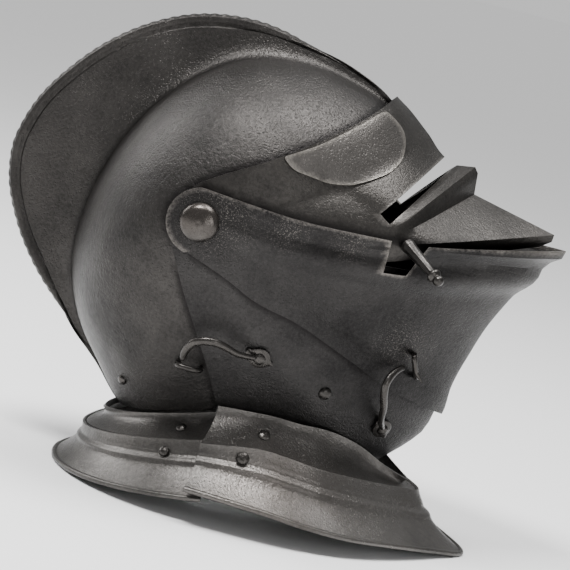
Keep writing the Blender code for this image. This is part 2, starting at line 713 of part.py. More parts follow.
# Hooks. Columns: x as a share of PROW_REACH, z as a share of COLLAR_DROP, lift off the plates in metres,
# thickness as a share of HOOK_WIRE.
SIDE_HOOK = [
    (0.154, -0.378, 0.0030, 1.0), (0.100, -0.362, 0.0048, 1.0), (0.068, -0.340, 0.0078, 1.15),
    (0.040, -0.326, 0.0098, 1.25), (0.012, -0.322, 0.0102, 1.3), (-0.018, -0.328, 0.0098, 1.25),
    (-0.038, -0.346, 0.0088, 1.15), (-0.048, -0.363, 0.0080, 1.0), (-0.051, -0.374, 0.0076, 0.85),
]
FRONT_HOOK = [
    (0.479, -0.610, 0.0030, 1.0), (0.486, -0.574, 0.0064, 1.0), (0.494, -0.538, 0.0094, 1.15),
    (0.496, -0.500, 0.0114, 1.25), (0.502, -0.466, 0.0120, 1.25), (0.519, -0.440, 0.0106, 1.2),
    (0.538, -0.428, 0.0086, 1.0), (0.547, -0.427, 0.0076, 0.85),
]
BOSS_RADIUS = 0.0060
BOSS_HOLE = 0.0022
BOSS_THICK = 0.0024


def make_hook(name, table, skin):
    rows = [(row[0] * PROW_REACH, row[1] * COLLAR_DROP, row[2], row[3]) for row in table]
    point, normal = plate_point(chin_at, rows[0][0], rows[0][1])
    middle = point + normal * (SKIN_GAP + BOSS_THICK / 2 + 0.0004)
    line = [skin(x, z, lift) for x, z, lift, _ in rows]
    line[0] = middle + (line[1] - middle).normalized() * (RIVET_RADIUS + 2 * SKIN_GAP)
    hook = bar(name, line, HOOK_WIRE, [row[3] for row in rows])
    boolean(hook, boss(name + "_boss", middle, normal, BOSS_RADIUS, BOSS_THICK), "UNION", "boss")
    hole = boss(name + "_hole", middle, normal, BOSS_HOLE, 3 * BOSS_THICK)
    boolean(hook, hole, "DIFFERENCE", "hole")
    shank = BOSS_HOLE - SKIN_GAP
    top = BOSS_THICK + 2 * SKIN_GAP + 0.0004
    profile = [(r, h + top) for r, h in dome(RIVET_RADIUS, 0.0020, 4)[:-1]]
    profile += [(shank, top), (shank, 0.0), (0.0, 0.0)]
    rivet = turned(name + "_rivet", profile, 12)
    stand_on(rivet, point + normal * (SKIN_GAP - FACET_SAG), normal)
    return hook


def boss(name, middle, normal, radius, thick):
    mesh = bpy.data.meshes.new(name)
    work = bmesh.new()
    turn = normal.to_track_quat("Z", "Y").to_matrix().to_4x4()
    place = Matrix.Translation(middle) @ turn
    bmesh.ops.create_cone(work, cap_ends=True, segments=16, radius1=radius, radius2=radius,
                          depth=thick, matrix=place)
    work.to_mesh(mesh)
    work.free()
    made = bpy.data.objects.new(name, mesh)
    CUTTERS.objects.link(made)
    made.hide_render = True
    made.display_type = "WIRE"
    return made


STAPLE_WIRE = 0.0013


def make_staple(name, skin, start, end, lift, stand=0.0):
    """An eye: a bar that leaves the plate, runs across and comes back."""
    line = []
    for share, rise in ((0.0, 0.0), (0.0, 0.55), (0.12, 0.9), (0.3, 1.0), (0.7, 1.0), (0.88, 0.9), (1.0, 0.55),
                        (1.0, 0.0)):
        x = start[0] + (end[0] - start[0]) * share
        z = start[1] + (end[1] - start[1]) * share
        side = plate_side(skin, x, z) + SKIN_GAP - FACET_SAG + stand + lift * rise
        line.append(Vector((x, -side, z)))
    return bar(name, line, STAPLE_WIRE)


def make_fastenings():
    make_hook("side_hook", SIDE_HOOK, over_plates)
    make_hook("front_hook", FRONT_HOOK, over_plates)
    make_staple("side_staple", skull_at, (-0.078 * PROW_REACH, -0.400 * COLLAR_DROP),
                (-0.014 * PROW_REACH, -0.418 * COLLAR_DROP), 0.0085, 0.0003)
    make_staple("front_staple", bevor_at, (0.578 * PROW_REACH, -0.395 * COLLAR_DROP),
                (0.584 * PROW_REACH, -0.462 * COLLAR_DROP), 0.0085, 0.0013)


# Lifting peg. Columns: distance from the root as a share of PEG_LENGTH, radius as a share of PEG_RADIUS.
PEG = [
    (1.00, 0.0), (0.99, 0.45), (0.95, 0.72), (0.90, 0.74), (0.86, 0.58), (0.82, 0.95), (0.77, 1.0), (0.74, 0.62),
    (0.55, 0.72), (0.30, 0.86), (0.12, 0.92), (0.06, 1.0), (0.0, 1.0), (0.0, 0.0),
]


def make_peg():
    angle = PROW_ANGLES[2]
    row = prow_points(angle, tuple(reversed(side_points(PROW)))[2])
    root = row[FOLD_COLUMN].lerp(row[FOLD_COLUMN + 1], 0.55)
    peg = turned("lifting_peg", [(r * PEG_RADIUS, h * PEG_LENGTH) for h, r in PEG], 14)
    lean = Vector((0.56, -0.62, -0.55)).normalized()
    stand_on(peg, root + Vector((0.0, -0.0024, 0.0)), lean)
    return peg


def set_down(pieces):
    """Lean the helmet back onto its collar and put the middle of its footprint at the origin."""
    base = bpy.data.objects.new("close_helmet_base", None)
    COLLECTION.objects.link(base)
    base.rotation_euler = (0.0, math.radians(-NOSE_UP), 0.0)
    for piece in pieces:
        piece.parent = base
    bpy.context.view_layer.update()
    graph = bpy.context.evaluated_depsgraph_get()
    lows, highs = [1e9] * 3, [-1e9] * 3
    for piece in pieces:
        if piece.hide_render:
            continue
        shown = piece.evaluated_get(graph)
        for vertex in shown.data.vertices:
            spot = shown.matrix_world @ vertex.co
            for k in range(3):
                lows[k] = min(lows[k], spot[k])
                highs[k] = max(highs[k], spot[k])
    base.location = (-(lows[0] + highs[0]) / 2, -(lows[1] + highs[1]) / 2, -lows[2])


def add_materials():
    iron = material("dark_iron", (0.085, 0.075, 0.068), 0.46)
    bluish = material("bevor_iron", (0.060, 0.058, 0.060), 0.42)
    visor = material("visor_iron", (0.105, 0.090, 0.078), 0.44)
    collar = material("collar_iron", (0.125, 0.115, 0.105), 0.42)
    bright = material("worn_iron", (0.22, 0.20, 0.18), 0.38)
    for piece in COLLECTION.objects:
        if piece.type != "MESH":
            continue
        name = piece.name
        chosen = bright if "rivet" in name or "hook" in name or "staple" in name or "peg" in name else iron
        if name in ("lower_bevor", "upper_bevor"):
            chosen = bluish
        if name in ("visor", "brow_plate"):
            chosen = visor
        if name.endswith("lame"):
            chosen = collar
        piece.data.materials.clear()
        piece.data.materials.append(chosen)


make_skull()
make_lower_bevor()
make_upper_bevor()
make_visor()
make_brow_plate()
make_lames()
make_pivots()
make_rivets()
make_fastenings()
make_peg()
add_materials()
set_down(list(COLLECTION.objects) + list(CUTTERS.objects))
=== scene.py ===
import json
import math
import bpy
import bmesh
import numpy
from mathutils import Matrix, Vector, noise

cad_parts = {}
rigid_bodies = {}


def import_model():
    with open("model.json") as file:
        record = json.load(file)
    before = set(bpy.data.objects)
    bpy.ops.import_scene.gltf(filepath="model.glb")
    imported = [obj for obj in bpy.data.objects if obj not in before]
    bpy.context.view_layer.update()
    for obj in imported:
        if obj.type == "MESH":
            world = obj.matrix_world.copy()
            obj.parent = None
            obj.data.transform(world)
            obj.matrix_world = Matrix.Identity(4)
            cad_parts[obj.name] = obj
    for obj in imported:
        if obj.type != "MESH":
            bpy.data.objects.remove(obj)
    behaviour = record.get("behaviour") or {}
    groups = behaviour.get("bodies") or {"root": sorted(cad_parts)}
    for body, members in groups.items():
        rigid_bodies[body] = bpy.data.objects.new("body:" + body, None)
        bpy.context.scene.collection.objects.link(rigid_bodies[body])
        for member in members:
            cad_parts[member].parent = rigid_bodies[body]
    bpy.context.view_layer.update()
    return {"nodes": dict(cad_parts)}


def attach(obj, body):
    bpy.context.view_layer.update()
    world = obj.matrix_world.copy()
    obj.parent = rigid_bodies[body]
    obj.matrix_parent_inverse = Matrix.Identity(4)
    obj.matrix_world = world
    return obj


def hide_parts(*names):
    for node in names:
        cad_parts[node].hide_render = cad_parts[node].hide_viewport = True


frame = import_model()

# The helmet stands on its collar with the face 14 degrees up. Points below are in the
# helmet's own frame: the cheek pivots' axis is Y, the face looks along X.
NOSE_UP = math.radians(14.0)
PIVOT = Vector((-0.03628, 0.0, 0.16795))
TO_WORLD = Matrix.Translation(PIVOT) @ Matrix.Rotation(-NOSE_UP, 4, "Y")


def world(x, y, z):
    return TO_WORLD @ Vector((x, y, z))


def place_camera():
    """Look at the wearer's right side, a little from the front and from above."""
    turn, rise, away = math.radians(5.0), math.radians(6.5), 1.6
    look = Vector((math.sin(turn) * math.cos(rise), -math.cos(turn) * math.cos(rise), math.sin(rise)))
    aim = Vector((0.039, 0.0, -0.0468))
    back = (TO_WORLD.to_3x3() @ look).normalized()
    up = TO_WORLD.to_3x3() @ Vector((0, 0, 1))
    across = up.cross(back).normalized()
    over = back.cross(across)
    data = bpy.data.cameras.new("photo_camera")
    data.sensor_width = 36.0
    data.lens = 168.4
    camera = bpy.data.objects.new("photo_camera", data)
    bpy.context.scene.collection.objects.link(camera)
    turned = Matrix((across, over, back)).transposed().to_4x4()
    camera.matrix_world = Matrix.Translation(TO_WORLD @ aim + back * away) @ turned
    bpy.context.scene.camera = camera


def area_light(name, spot, aim, size, watts, colour=(1, 1, 1)):
    data = bpy.data.lights.new(name, "AREA")
    data.shape = "RECTANGLE"
    data.size, data.size_y = size
    data.energy = watts
    data.color = colour
    lamp = bpy.data.objects.new(name, data)
    bpy.context.scene.collection.objects.link(lamp)
    lamp.location = spot
    lamp.rotation_euler = (Vector(aim) - Vector(spot)).to_track_quat("-Z", "Y").to_euler()


def studio():
    """A plain pale floor, and soft light from above and both sides."""
    mesh = bpy.data.meshes.new("floor")
    half = 30.0
    mesh.from_pydata([(-half, -half, 0), (half, -half, 0), (half, half, 0), (-half, half, 0)], [], [(0, 1, 2, 3)])
    floor = bpy.data.objects.new("floor", mesh)
    bpy.context.scene.collection.objects.link(floor)
    paper = bpy.data.materials.new("paper")
    paper.use_nodes = True
    paper.node_tree.nodes["Principled BSDF"].inputs["Base Color"].default_value = (0.86, 0.86, 0.86, 1)
    paper.node_tree.nodes["Principled BSDF"].inputs["Roughness"].default_value = 0.9
    mesh.materials.append(paper)
    world_light = bpy.data.worlds.new("studio")
    world_light.use_nodes = True
    nodes, links = world_light.node_tree.nodes, world_light.node_tree.links
    soft = nodes["Background"]
    soft.inputs["Color"].default_value = (1, 1, 1, 1)
    soft.inputs["Strength"].default_value = 0.36
    pale = nodes.new("ShaderNodeBackground")
    pale.inputs["Color"].default_value = (0.72, 0.72, 0.72, 1)
    chosen = nodes.new("ShaderNodeMixShader")
    links.new(nodes.new("ShaderNodeLightPath").outputs["Is Camera Ray"], chosen.inputs[0])
    links.new(soft.outputs[0], chosen.inputs[1])
    links.new(pale.outputs[0], chosen.inputs[2])
    links.new(chosen.outputs[0], nodes["World Output"].inputs["Surface"])
    bpy.context.scene.world = world_light
    sun = bpy.data.lights.new("even_light", "SUN")
    sun.energy = 1.5
    sun.angle = math.radians(50)
    even = bpy.data.objects.new("even_light", sun)
    bpy.context.scene.collection.objects.link(even)
    even.rotation_euler = (math.radians(-12), math.radians(10), 0)
    middle = (0.0, 0.0, 0.14)
    area_light("key", (-0.40, -0.55, 1.50), middle, (0.55, 0.40), 34)
    area_light("top", (0.40, 0.0, 1.6), middle, (0.7, 0.5), 18)
    area_light("fill", (1.0, -1.5, 0.5), middle, (0.5, 0.7), 7)
    area_light("back", (-1.3, 0.5, 0.9), middle, (0.6, 0.9), 16)


# Sizes in metres, as in the frame.
REACH = 0.125            # pivot axis to the brow peak of the visor
HALF_WIDTH = 0.096       # skull at the pivots, outer face
COMB_HEIGHT = 0.058      # comb above the bowl, at its highest
COMB_THICK = 0.0072      # comb across its edge
PROW_REACH = 0.205       # pivot axis to the tip of the bevor, along X
CHIN_REACH = 0.180       # pivot axis to the throat of the chin plate
COLLAR_FRONT = 0.146     # pivot axis to the tip of the collar, along X
COLLAR_HALF = 0.112      # half of the collar's width
COLLAR_DROP = 0.208      # pivot axis down to the collar's tip
PLATE = 0.0016           # plate thickness
LAYER_GAP = 0.0012       # free space between plates at the pivots
SKIN_GAP = 0.0004        # free space between fixed neighbours
FACET_SAG = 0.0006       # how far the plates' facets lie inside their true curve
LOBE_RADIUS = 0.0195     # round ends of the moving plates at the pivots
PIVOT_RADIUS = 0.0114    # domed pivot head
PIVOT_SHANK = 0.0042
PIVOT_SLACK = 0.0006
WASHER_GAP = 0.0022      # inner washers stand off the curved bowl
RIVET_RADIUS = 0.0036
HOOK_WIRE = 0.0020       # radius of the hooks' bars
PEG_LENGTH = 0.036
PEG_RADIUS = 0.0042

PITCH = PLATE + LAYER_GAP
CHIN_HALF = HALF_WIDTH + PITCH
VISOR_HALF = HALF_WIDTH + 2 * PITCH
BEVOR_HALF = HALF_WIDTH + 3 * PITCH


# Skull sections round the pivots.
# Columns: angle in degrees from forward, bowl and edge as shares of REACH, comb as a share of COMB_HEIGHT.
SKULL = [
    (0, 0.95, 0.00), (20, 0.960, 0.01), (32, 0.935, 0.04), (45, 0.865, 0.105), (61, 0.795, 0.200),
    (78, 0.730, 0.375), (98, 0.640, 0.615), (111, 0.600, 0.725), (124, 0.575, 0.815),
    (138, 0.562, 0.905), (150, 0.567, 0.975), (160, 0.580, 0.995), (171, 0.610, 0.915),
    (184, 0.662, 0.710), (197, 0.735, 0.465), (208, 0.800, 0.270), (220, 0.873, 0.100),
    (232, 0.950, 0.015), (242, 1.050, 0.000), (254, 1.150, 0.000), (270, 1.200, 0.000),
    (300, 1.220, 0.000), (330, 1.080, 0.000),
]

# Chin plate sections. Columns: angle, reach, keel (2 round, 1 sharp). It follows the skull where it laps
# over it, and the bevor where it lies inside it.
CHIN = [
    (-95, 1.2283 * REACH, 2.00), (-85, 1.2355 * REACH, 1.95), (-72, 0.905 * CHIN_REACH, 1.75),
    (-62, 0.985 * CHIN_REACH, 1.50), (-55, 1.000 * CHIN_REACH, 1.35), (-48, 1.008 * CHIN_REACH, 1.28),
    (-44, 0.8693 * PROW_REACH, 1.25), (-38, 0.8341 * PROW_REACH, 1.22), (-30, 0.8210 * PROW_REACH, 1.20),
    (-12, 0.8166 * PROW_REACH, 1.20), (20, 0.8166 * PROW_REACH, 1.20), (90, 0.6146 * PROW_REACH, 1.6),
    (180, 0.6146 * PROW_REACH, 2.00), (240, 1.152 * REACH, 2.00),
]

# Bevor sections. Columns: angle, reach as a share of PROW_REACH, keel.
BEVOR = [
    (-95, 0.80, 1.9), (-62, 0.915, 1.5), (-50, 0.905, 1.35), (-42.7, 0.888, 1.25),
    (-37.5, 0.856, 1.22), (-31, 0.8455, 1.20), (-24, 0.853, 1.20), (-17, 0.889, 1.20),
    (-13.5, 0.918, 1.20), (-10, 0.963, 1.20), (-7.5, 1.010, 1.20), (0, 1.010, 1.20),
    (30, 0.95, 1.3), (90, 0.75, 1.8), (180, 0.70, 2.0), (240, 0.75, 2.0),
]

# Visor sections. Columns: angle, reach, keel. It follows the bevor where it lies inside it.
VISOR = [
    (-20, 0.8293 * PROW_REACH, 1.20), (-14.5, 0.8537 * PROW_REACH, 1.20), (-10, 0.8963 * PROW_REACH, 1.20),
    (-6, 0.9268 * PROW_REACH, 1.20), (0, 0.8720 * PROW_REACH, 1.22), (6, 0.7744 * PROW_REACH, 1.28),
    (12, 1.115 * REACH, 1.40), (20, 1.055 * REACH, 1.55), (28, 1.018 * REACH, 1.70),
    (32, 1.000 * REACH, 1.75), (45, 0.985 * REACH, 1.85), (90, 0.90 * REACH, 2.0),
    (180, 0.80 * REACH, 2.0), (270, 1.00 * REACH, 2.0), (325, 0.7927 * PROW_REACH, 1.5),
]

# Side outlines. Columns: x as a share of PROW_REACH, z as a share of COLLAR_DROP.
SKULL_CUT = [
    (0.58, 0.29), (0.46, 0.225), (0.24, 0.105), (0.135, -0.02), (0.135, -0.25), (0.165, -0.515),
    (0.030, -0.530), (-0.034, -0.547), (-0.137, -0.551), (-0.23, -0.558), (-0.30, -0.566), (-0.42, -0.568),
    (-0.90, -0.50), (-0.90, 0.90), (0.60, 0.90),
]
CHIN_CUT = [
    (-0.068, -0.125), (-0.050, -0.200), (-0.027, -0.280), (0.010, -0.420), (0.030, -0.555),
    (0.170, -0.600), (0.290, -0.645), (0.400, -0.705), (0.480, -0.765), (0.60, -0.86),
    (1.05, -0.86), (1.05, -0.175), (0.80, -0.175), (0.52, -0.150), (0.27, -0.035), (0.05, 0.086),
]
BEVOR_CUT = [
    (-0.030, -0.085), (0.073, -0.155), (0.150, -0.222), (0.268, -0.283), (0.410, -0.402),
    (0.500, -0.486), (0.640, -0.585), (0.79, -0.70), (1.15, -0.71), (1.15, -0.138),
    (0.886, -0.105), (0.618, -0.080), (0.525, -0.058), (0.277, 0.001), (0.102, 0.061),
    (0.009, 0.0935),
]
VISOR_CUT = [
    (-0.040, 0.080), (0.002, 0.108), (0.090, 0.135), (0.194, 0.163), (0.310, 0.206),
    (0.387, 0.240), (0.442, 0.268), (0.488, 0.298), (0.520, 0.322), (0.66, 0.45), (1.15, 0.45),
    (1.15, -0.115), (0.94, -0.115), (0.555, -0.150), (0.27, -0.066), (-0.020, -0.0935),
]
BROW_CUT = [
    (0.224, 0.173), (0.252, 0.1375), (0.302, 0.117), (0.345, 0.098), (0.404, 0.091), (0.452, 0.101),
    (0.511, 0.120), (0.543, 0.152), (0.550, 0.197), (0.541, 0.232), (0.514, 0.267),
    (0.490, 0.288), (0.442, 0.260), (0.387, 0.232), (0.310, 0.198), (0.245, 0.179),
]

# Notch for the peg. Columns as in the side outlines.
NOTCH = [
    (0.515, -0.02), (0.522, -0.055), (0.497, -0.147), (0.558, -0.159), (0.628, -0.070), (0.632, -0.02),
]

# Median line of the prow, from the sight down. Columns as in the side outlines.
PROW = [
    (0.668, 0.111), (0.690, 0.124), (0.743, 0.119), (0.751, 0.101), (0.741, 0.041),
    (0.973, -0.074), (0.966, -0.094), (0.930, -0.108),
]


def smooth_step(before, start, end, after, gap_before, gap, gap_after, t):
    """Cubic between two table rows whose spacing may differ from their neighbours'."""
    slope_in = 0.5 * ((start - before) / gap_before + (end - start) / gap) * gap
    slope_out = 0.5 * ((end - start) / gap + (after - end) / gap_after) * gap
    if (start - before) * (end - start) <= 0:
        slope_in = 0.0
    if (end - start) * (after - end) <= 0:
        slope_out = 0.0
    keep = (1 + 2 * t) * (1 - t) ** 2
    return (keep * start + t * (1 - t) ** 2 * slope_in + (1 - keep) * end
            + t * t * (t - 1) * slope_out)


def round_table(table, angle):
    """Read a table of sections at an angle, going smoothly round the full circle."""
    rows = sorted(((row[0] % 360.0,) + tuple(row[1:]) for row in table))
    angle = angle % 360.0
    count = len(rows)
    index = count - 1
    for i in range(count):
        if rows[i][0] > angle:
            index = i - 1
            break
    picked = [rows[(index + k) % count] for k in (-1, 0, 1, 2)]
    gaps = [(picked[k + 1][0] - picked[k][0]) % 360.0 for k in range(3)]
    t = ((angle - picked[1][0]) % 360.0) / gaps[1]
    values = []
    for column in range(1, len(rows[0])):
        a, b, c, d = [row[column] for row in picked]
        values.append(smooth_step(a, b, c, d, gaps[0], gaps[1], gaps[2], t))
    return values


def section_point(reach, half, keel, share, angle):
    """A point of a plate's section: share 0 at the pivot, 1 at the median plane."""
    turn = share * math.pi / 2
    radius = reach * math.sin(turn)
    side = half * max(math.cos(turn), 0.0) ** (2.0 / keel)
    if share >= 1.0:
        side = 0.0
    ray = math.radians(angle)
    return Vector((radius * math.cos(ray), -side, radius * math.sin(ray)))


def chin_at(angle):
    reach, keel = round_table(CHIN, angle)
    return reach, CHIN_HALF, keel


def bevor_at(angle):
    reach, keel = round_table(BEVOR, angle)
    return reach * PROW_REACH, BEVOR_HALF, keel


def visor_at(angle):
    reach, keel = round_table(VISOR, angle)
    return reach, VISOR_HALF, keel


def skull_at(angle):
    bowl, comb = round_table(SKULL, angle)
    return bowl * REACH, HALF_WIDTH, 2.0


def plate_side(sections, x, z):
    """How far out, along -Y, a plate lies at a point of its side view."""
    reach, half, keel = sections(math.degrees(math.atan2(z, x)))
    share = min(math.hypot(x, z) / reach, 1.0)
    return half * (1.0 - share * share) ** (1.0 / keel)


def plate_point(sections, x, z):
    """Point and outward normal of a plate on the right side."""
    step = 0.0005
    y = plate_side(sections, x, z)
    slope_x = (plate_side(sections, x + step, z) - plate_side(sections, x - step, z)) / (2 * step)
    slope_z = (plate_side(sections, x, z + step) - plate_side(sections, x, z - step)) / (2 * step)
    normal = Vector((-slope_x, -1.0, -slope_z)).normalized()
    return Vector((x, -y, z)), normal


def side_points(table, along=PROW_REACH, down=COLLAR_DROP):
    return [(row[0] * along, row[1] * down) for row in table]


def rounded(points, rounds=2):
    """Cut the corners of a closed side outline into a smooth line."""
    for _ in range(rounds):
        cut = []
        for i, start in enumerate(points):
            end = points[(i + 1) % len(points)]
            cut.append((0.8 * start[0] + 0.2 * end[0], 0.8 * start[1] + 0.2 * end[1]))
            cut.append((0.2 * start[0] + 0.8 * end[0], 0.2 * start[1] + 0.8 * end[1]))
        points = cut
    return points


def with_lobe(points, radius, start, end):
    """Put a round lobe about the pivot between the last and the first outline point."""
    steps = 7
    arc = []
    for i in range(steps + 1):
        angle = math.radians(start + (end - start) * i / steps)
        arc.append((radius * math.cos(angle), radius * math.sin(angle)))
    return points + arc


def cluster(nodes, links, kind, x=0, **sets):
    """A shader node with its settings; keys are socket names with spaces as underscores."""
    node = nodes.new(kind)
    for key, value in sets.items():
        if hasattr(node, key):
            setattr(node, key, value)
        else:
            socket = node.inputs[key.replace("_", " ")]
            if isinstance(value, bpy.types.NodeSocket):
                links.new(value, socket)
            else:
                socket.default_value = value
    return node


def iron(name, low, high, worn, roughness=0.44, pits=1.0, rust=0.3, scale=1.0, wear=0.5):
    """Old iron: mottled patina, pits, rubbed edges, fine grain and a little rust."""
    made = bpy.data.materials.new(name)
    made.use_nodes = True
    nodes, links = made.node_tree.nodes, made.node_tree.links
    shader = nodes["Principled BSDF"]

    def add(kind, **sets):
        return cluster(nodes, links, kind, **sets)

    place = add("ShaderNodeTexCoord").outputs["Object"]
    cloud = add("ShaderNodeTexNoise", Vector=place, Scale=14.0 * scale, Detail=8.0, Roughness=0.62)
    grain = add("ShaderNodeTexNoise", Vector=place, Scale=520.0 * scale, Detail=6.0, Roughness=0.7)
    broad = add("ShaderNodeTexNoise", Vector=place, Scale=5.0 * scale, Detail=4.0, Roughness=0.5)
    mottle = add("ShaderNodeMix", data_type="FLOAT", Factor=0.35)
    links.new(cloud.outputs["Fac"], mottle.inputs[2])
    links.new(grain.outputs["Fac"], mottle.inputs[3])
    spread = add("ShaderNodeMapRange", Value=mottle.outputs[0], From_Min=0.36, From_Max=0.64)
    colour = add("ShaderNodeMix", data_type="RGBA")
    links.new(spread.outputs[0], colour.inputs[0])
    colour.inputs[6].default_value = low + (1.0,)
    colour.inputs[7].default_value = high + (1.0,)

    rusty = add("ShaderNodeMapRange", Value=broad.outputs["Fac"], From_Min=0.58, From_Max=0.74,
                To_Max=0.55 * rust)
    warm = add("ShaderNodeMix", data_type="RGBA")
    links.new(rusty.outputs[0], warm.inputs[0])
    links.new(colour.outputs[2], warm.inputs[6])
    warm.inputs[7].default_value = (0.115, 0.062, 0.034, 1.0)

    freckle = add("ShaderNodeTexNoise", Vector=place, Scale=1500.0 * scale, Detail=2.0, Roughness=0.5)
    speck = add("ShaderNodeMapRange", Value=freckle.outputs["Fac"], From_Min=0.58, From_Max=0.66, To_Max=0.38)
    marked = add("ShaderNodeAttribute", attribute_name="specks").outputs["Fac"]
    gate = add("ShaderNodeMath", operation="ADD", use_clamp=True)
    links.new(marked, gate.inputs[0])
    gate.inputs[1].default_value = 0.06
    both = add("ShaderNodeMath", operation="MULTIPLY")
    links.new(speck.outputs[0], both.inputs[0])
    links.new(gate.outputs[0], both.inputs[1])
    specks = add("ShaderNodeMix", data_type="RGBA")
    links.new(both.outputs[0], specks.inputs[0])
    links.new(warm.outputs[2], specks.inputs[6])
    specks.inputs[7].default_value = worn + (1.0,)

    edge = add("ShaderNodeAttribute", attribute_name="rubbed").outputs["Fac"]
    broken = add("ShaderNodeMath", operation="MULTIPLY")
    links.new(edge, broken.inputs[0])
    links.new(spread.outputs[0], broken.inputs[1])
    rubbed = add("ShaderNodeMapRange", Value=broken.outputs[0], From_Min=0.10, From_Max=0.75, To_Max=wear)
    bright = add("ShaderNodeMix", data_type="RGBA")
    links.new(rubbed.outputs[0], bright.inputs[0])
    links.new(specks.outputs[2], bright.inputs[6])
    bright.inputs[7].default_value = worn + (1.0,)
    # Painted shade: the colour goes to near black close to the edges of overlapping plates, where their gap shadows
    # fall.
    gap_shade = add("ShaderNodeAttribute", attribute_name="gap_shade").outputs["Fac"]
    gap_shade_amount = add("ShaderNodeMapRange", Value=gap_shade, From_Min=0.15, From_Max=0.85, To_Max=0.85)
    gap_shaded_colour = add("ShaderNodeMix", data_type="RGBA")
    links.new(gap_shade_amount.outputs[0], gap_shaded_colour.inputs[0])
    links.new(bright.outputs[2], gap_shaded_colour.inputs[6])
    gap_shaded_colour.inputs[7].default_value = (0.006, 0.005, 0.005, 1.0)
    links.new(gap_shaded_colour.outputs[2], shader.inputs["Base Color"])

    gloss = add("ShaderNodeMapRange", Value=mottle.outputs[0], From_Min=0.35, From_Max=0.65,
                To_Min=roughness + 0.09, To_Max=roughness - 0.09)
    links.new(gloss.outputs[0], shader.inputs["Roughness"])
    shader.inputs["Metallic"].default_value = 0.85

    pit = add("ShaderNodeTexVoronoi", Vector=place, Scale=620.0 * scale, Randomness=1.0)
    dent = add("ShaderNodeMapRange", Value=pit.outputs["Distance"], From_Min=0.10, From_Max=0.42)
    here = add("ShaderNodeMapRange", Value=cloud.outputs["Fac"], From_Min=0.40, From_Max=0.62, To_Min=0.15)
    deep = add("ShaderNodeMath", operation="MULTIPLY")
    links.new(dent.outputs[0], deep.inputs[0])
    links.new(here.outputs[0], deep.inputs[1])
    hammer = add("ShaderNodeTexNoise", Vector=place, Scale=38.0 * scale, Detail=3.0, Roughness=0.5)
    first = add("ShaderNodeBump", Strength=0.40 * pits, Distance=0.0005, Height=deep.outputs[0])
    second = add("ShaderNodeBump", Strength=0.45 * pits, Distance=0.0008, Height=grain.outputs["Fac"],
                 Normal=first.outputs[0])
    third = add("ShaderNodeBump", Strength=0.20 * pits, Distance=0.0030, Height=hammer.outputs["Fac"],
                Normal=second.outputs[0])
    links.new(third.outputs[0], shader.inputs["Normal"])
    return made


# Meshes of the plates, finer than the frame's and with its low relief.
WORK = bpy.data.collections.new("work")
bpy.context.scene.collection.children.link(WORK)
TRIM = 0.00004


def mesh_object(name, points, faces):
    mesh = bpy.data.meshes.new(name)
    mesh.from_pydata([tuple(p) for p in points], [], faces)
    mesh.update()
    made = bpy.data.objects.new(name, mesh)
    WORK.objects.link(made)
    return made


def cutter_prism(name, points, near=-0.16, far=0.16):
    """A closed side outline extruded across the helmet."""
    work = bmesh.new()
    ring = [work.verts.new((x, near, z)) for x, z in points]
    face = work.faces.new(ring)
    out = bmesh.ops.extrude_face_region(work, geom=[face])
    moved = [v for v in out["geom"] if isinstance(v, bmesh.types.BMVert)]
    bmesh.ops.translate(work, verts=moved, vec=(0, far - near, 0))
    bmesh.ops.recalc_face_normals(work, faces=work.faces)
    mesh = bpy.data.meshes.new(name)
    work.to_mesh(mesh)
    work.free()
    made = bpy.data.objects.new(name, mesh)
    WORK.objects.link(made)
    return made


def boolean(target, cutter, operation):
    cut = target.modifiers.new(cutter.name, "BOOLEAN")
    cut.operation = operation
    cut.solver = "EXACT"
    cut.use_self = True
    cut.object = cutter


def mirror_and_thicken(target, thickness=PLATE, even=True):
    mirror = target.modifiers.new("mirror", "MIRROR")
    mirror.use_axis = (False, True, False)
    mirror.use_clip = True
    mirror.merge_threshold = 0.00002
    thicken(target, thickness, even)


def thicken(target, thickness=PLATE, even=True):
    solid = target.modifiers.new("plate", "SOLIDIFY")
    solid.thickness = thickness
    solid.offset = -1.0
    solid.use_even_offset = even


def sharp_edges(mesh, angle):
    limit = math.radians(angle)
    work = bmesh.new()
    work.from_mesh(mesh)
    for face in work.faces:
        face.smooth = True
    for edge in work.edges:
        edge.smooth = len(edge.link_faces) == 2 and edge.calc_face_angle(0.0) < limit
    work.to_mesh(mesh)
    work.free()


def finish_piece(target, name, node, body, finish, outlines=(), angle=32.0, specks=(), gap_shade=()):
    """Apply the modifiers, stand the piece in the world and let it take its node's place."""
    bpy.context.view_layer.update()
    mesh = bpy.data.meshes.new_from_object(target.evaluated_get(bpy.context.evaluated_depsgraph_get()))
    mark_near(mesh, "rubbed", outlines, 0.0024)
    # Painted shade: marks the points near the given edges of overlapping plates, where the gap shadow falls.
    mark_near(mesh, "gap_shade", gap_shade, 0.0055)
    mark_specks(mesh, specks)
    mesh.transform(TO_WORLD @ target.matrix_world)
    mesh.materials.clear()
    mesh.materials.append(MATERIALS[finish])
    sharp_edges(mesh, angle)
    piece = bpy.data.objects.new(name, mesh)
    bpy.context.scene.collection.objects.link(piece)
    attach(piece, body)
    if node:
        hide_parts(*([node] if isinstance(node, str) else node))
    return piece


def distance_to_line(x, z, line):
    best = 1.0
    for (ax, az), (bx, bz) in zip(line, line[1:]):
        dx, dz = bx - ax, bz - az
        part = max(0.0, min(1.0, ((x - ax) * dx + (z - az) * dz) / (dx * dx + dz * dz + 1e-18)))
        best = min(best, math.hypot(x - ax - part * dx, z - az - part * dz))
    return best


def distances(points, line):
    """How far each point lies from a line of the side view."""
    best = numpy.full(len(points), 1.0)
    for start, end in zip(line, line[1:]):
        start, run = numpy.array(start), numpy.array(end) - numpy.array(start)
        away = points - start
        part = numpy.clip((away @ run) / (run @ run + 1e-18), 0.0, 1.0)
        best = numpy.minimum(best, numpy.linalg.norm(away - part[:, None] * run, axis=1))
    return best


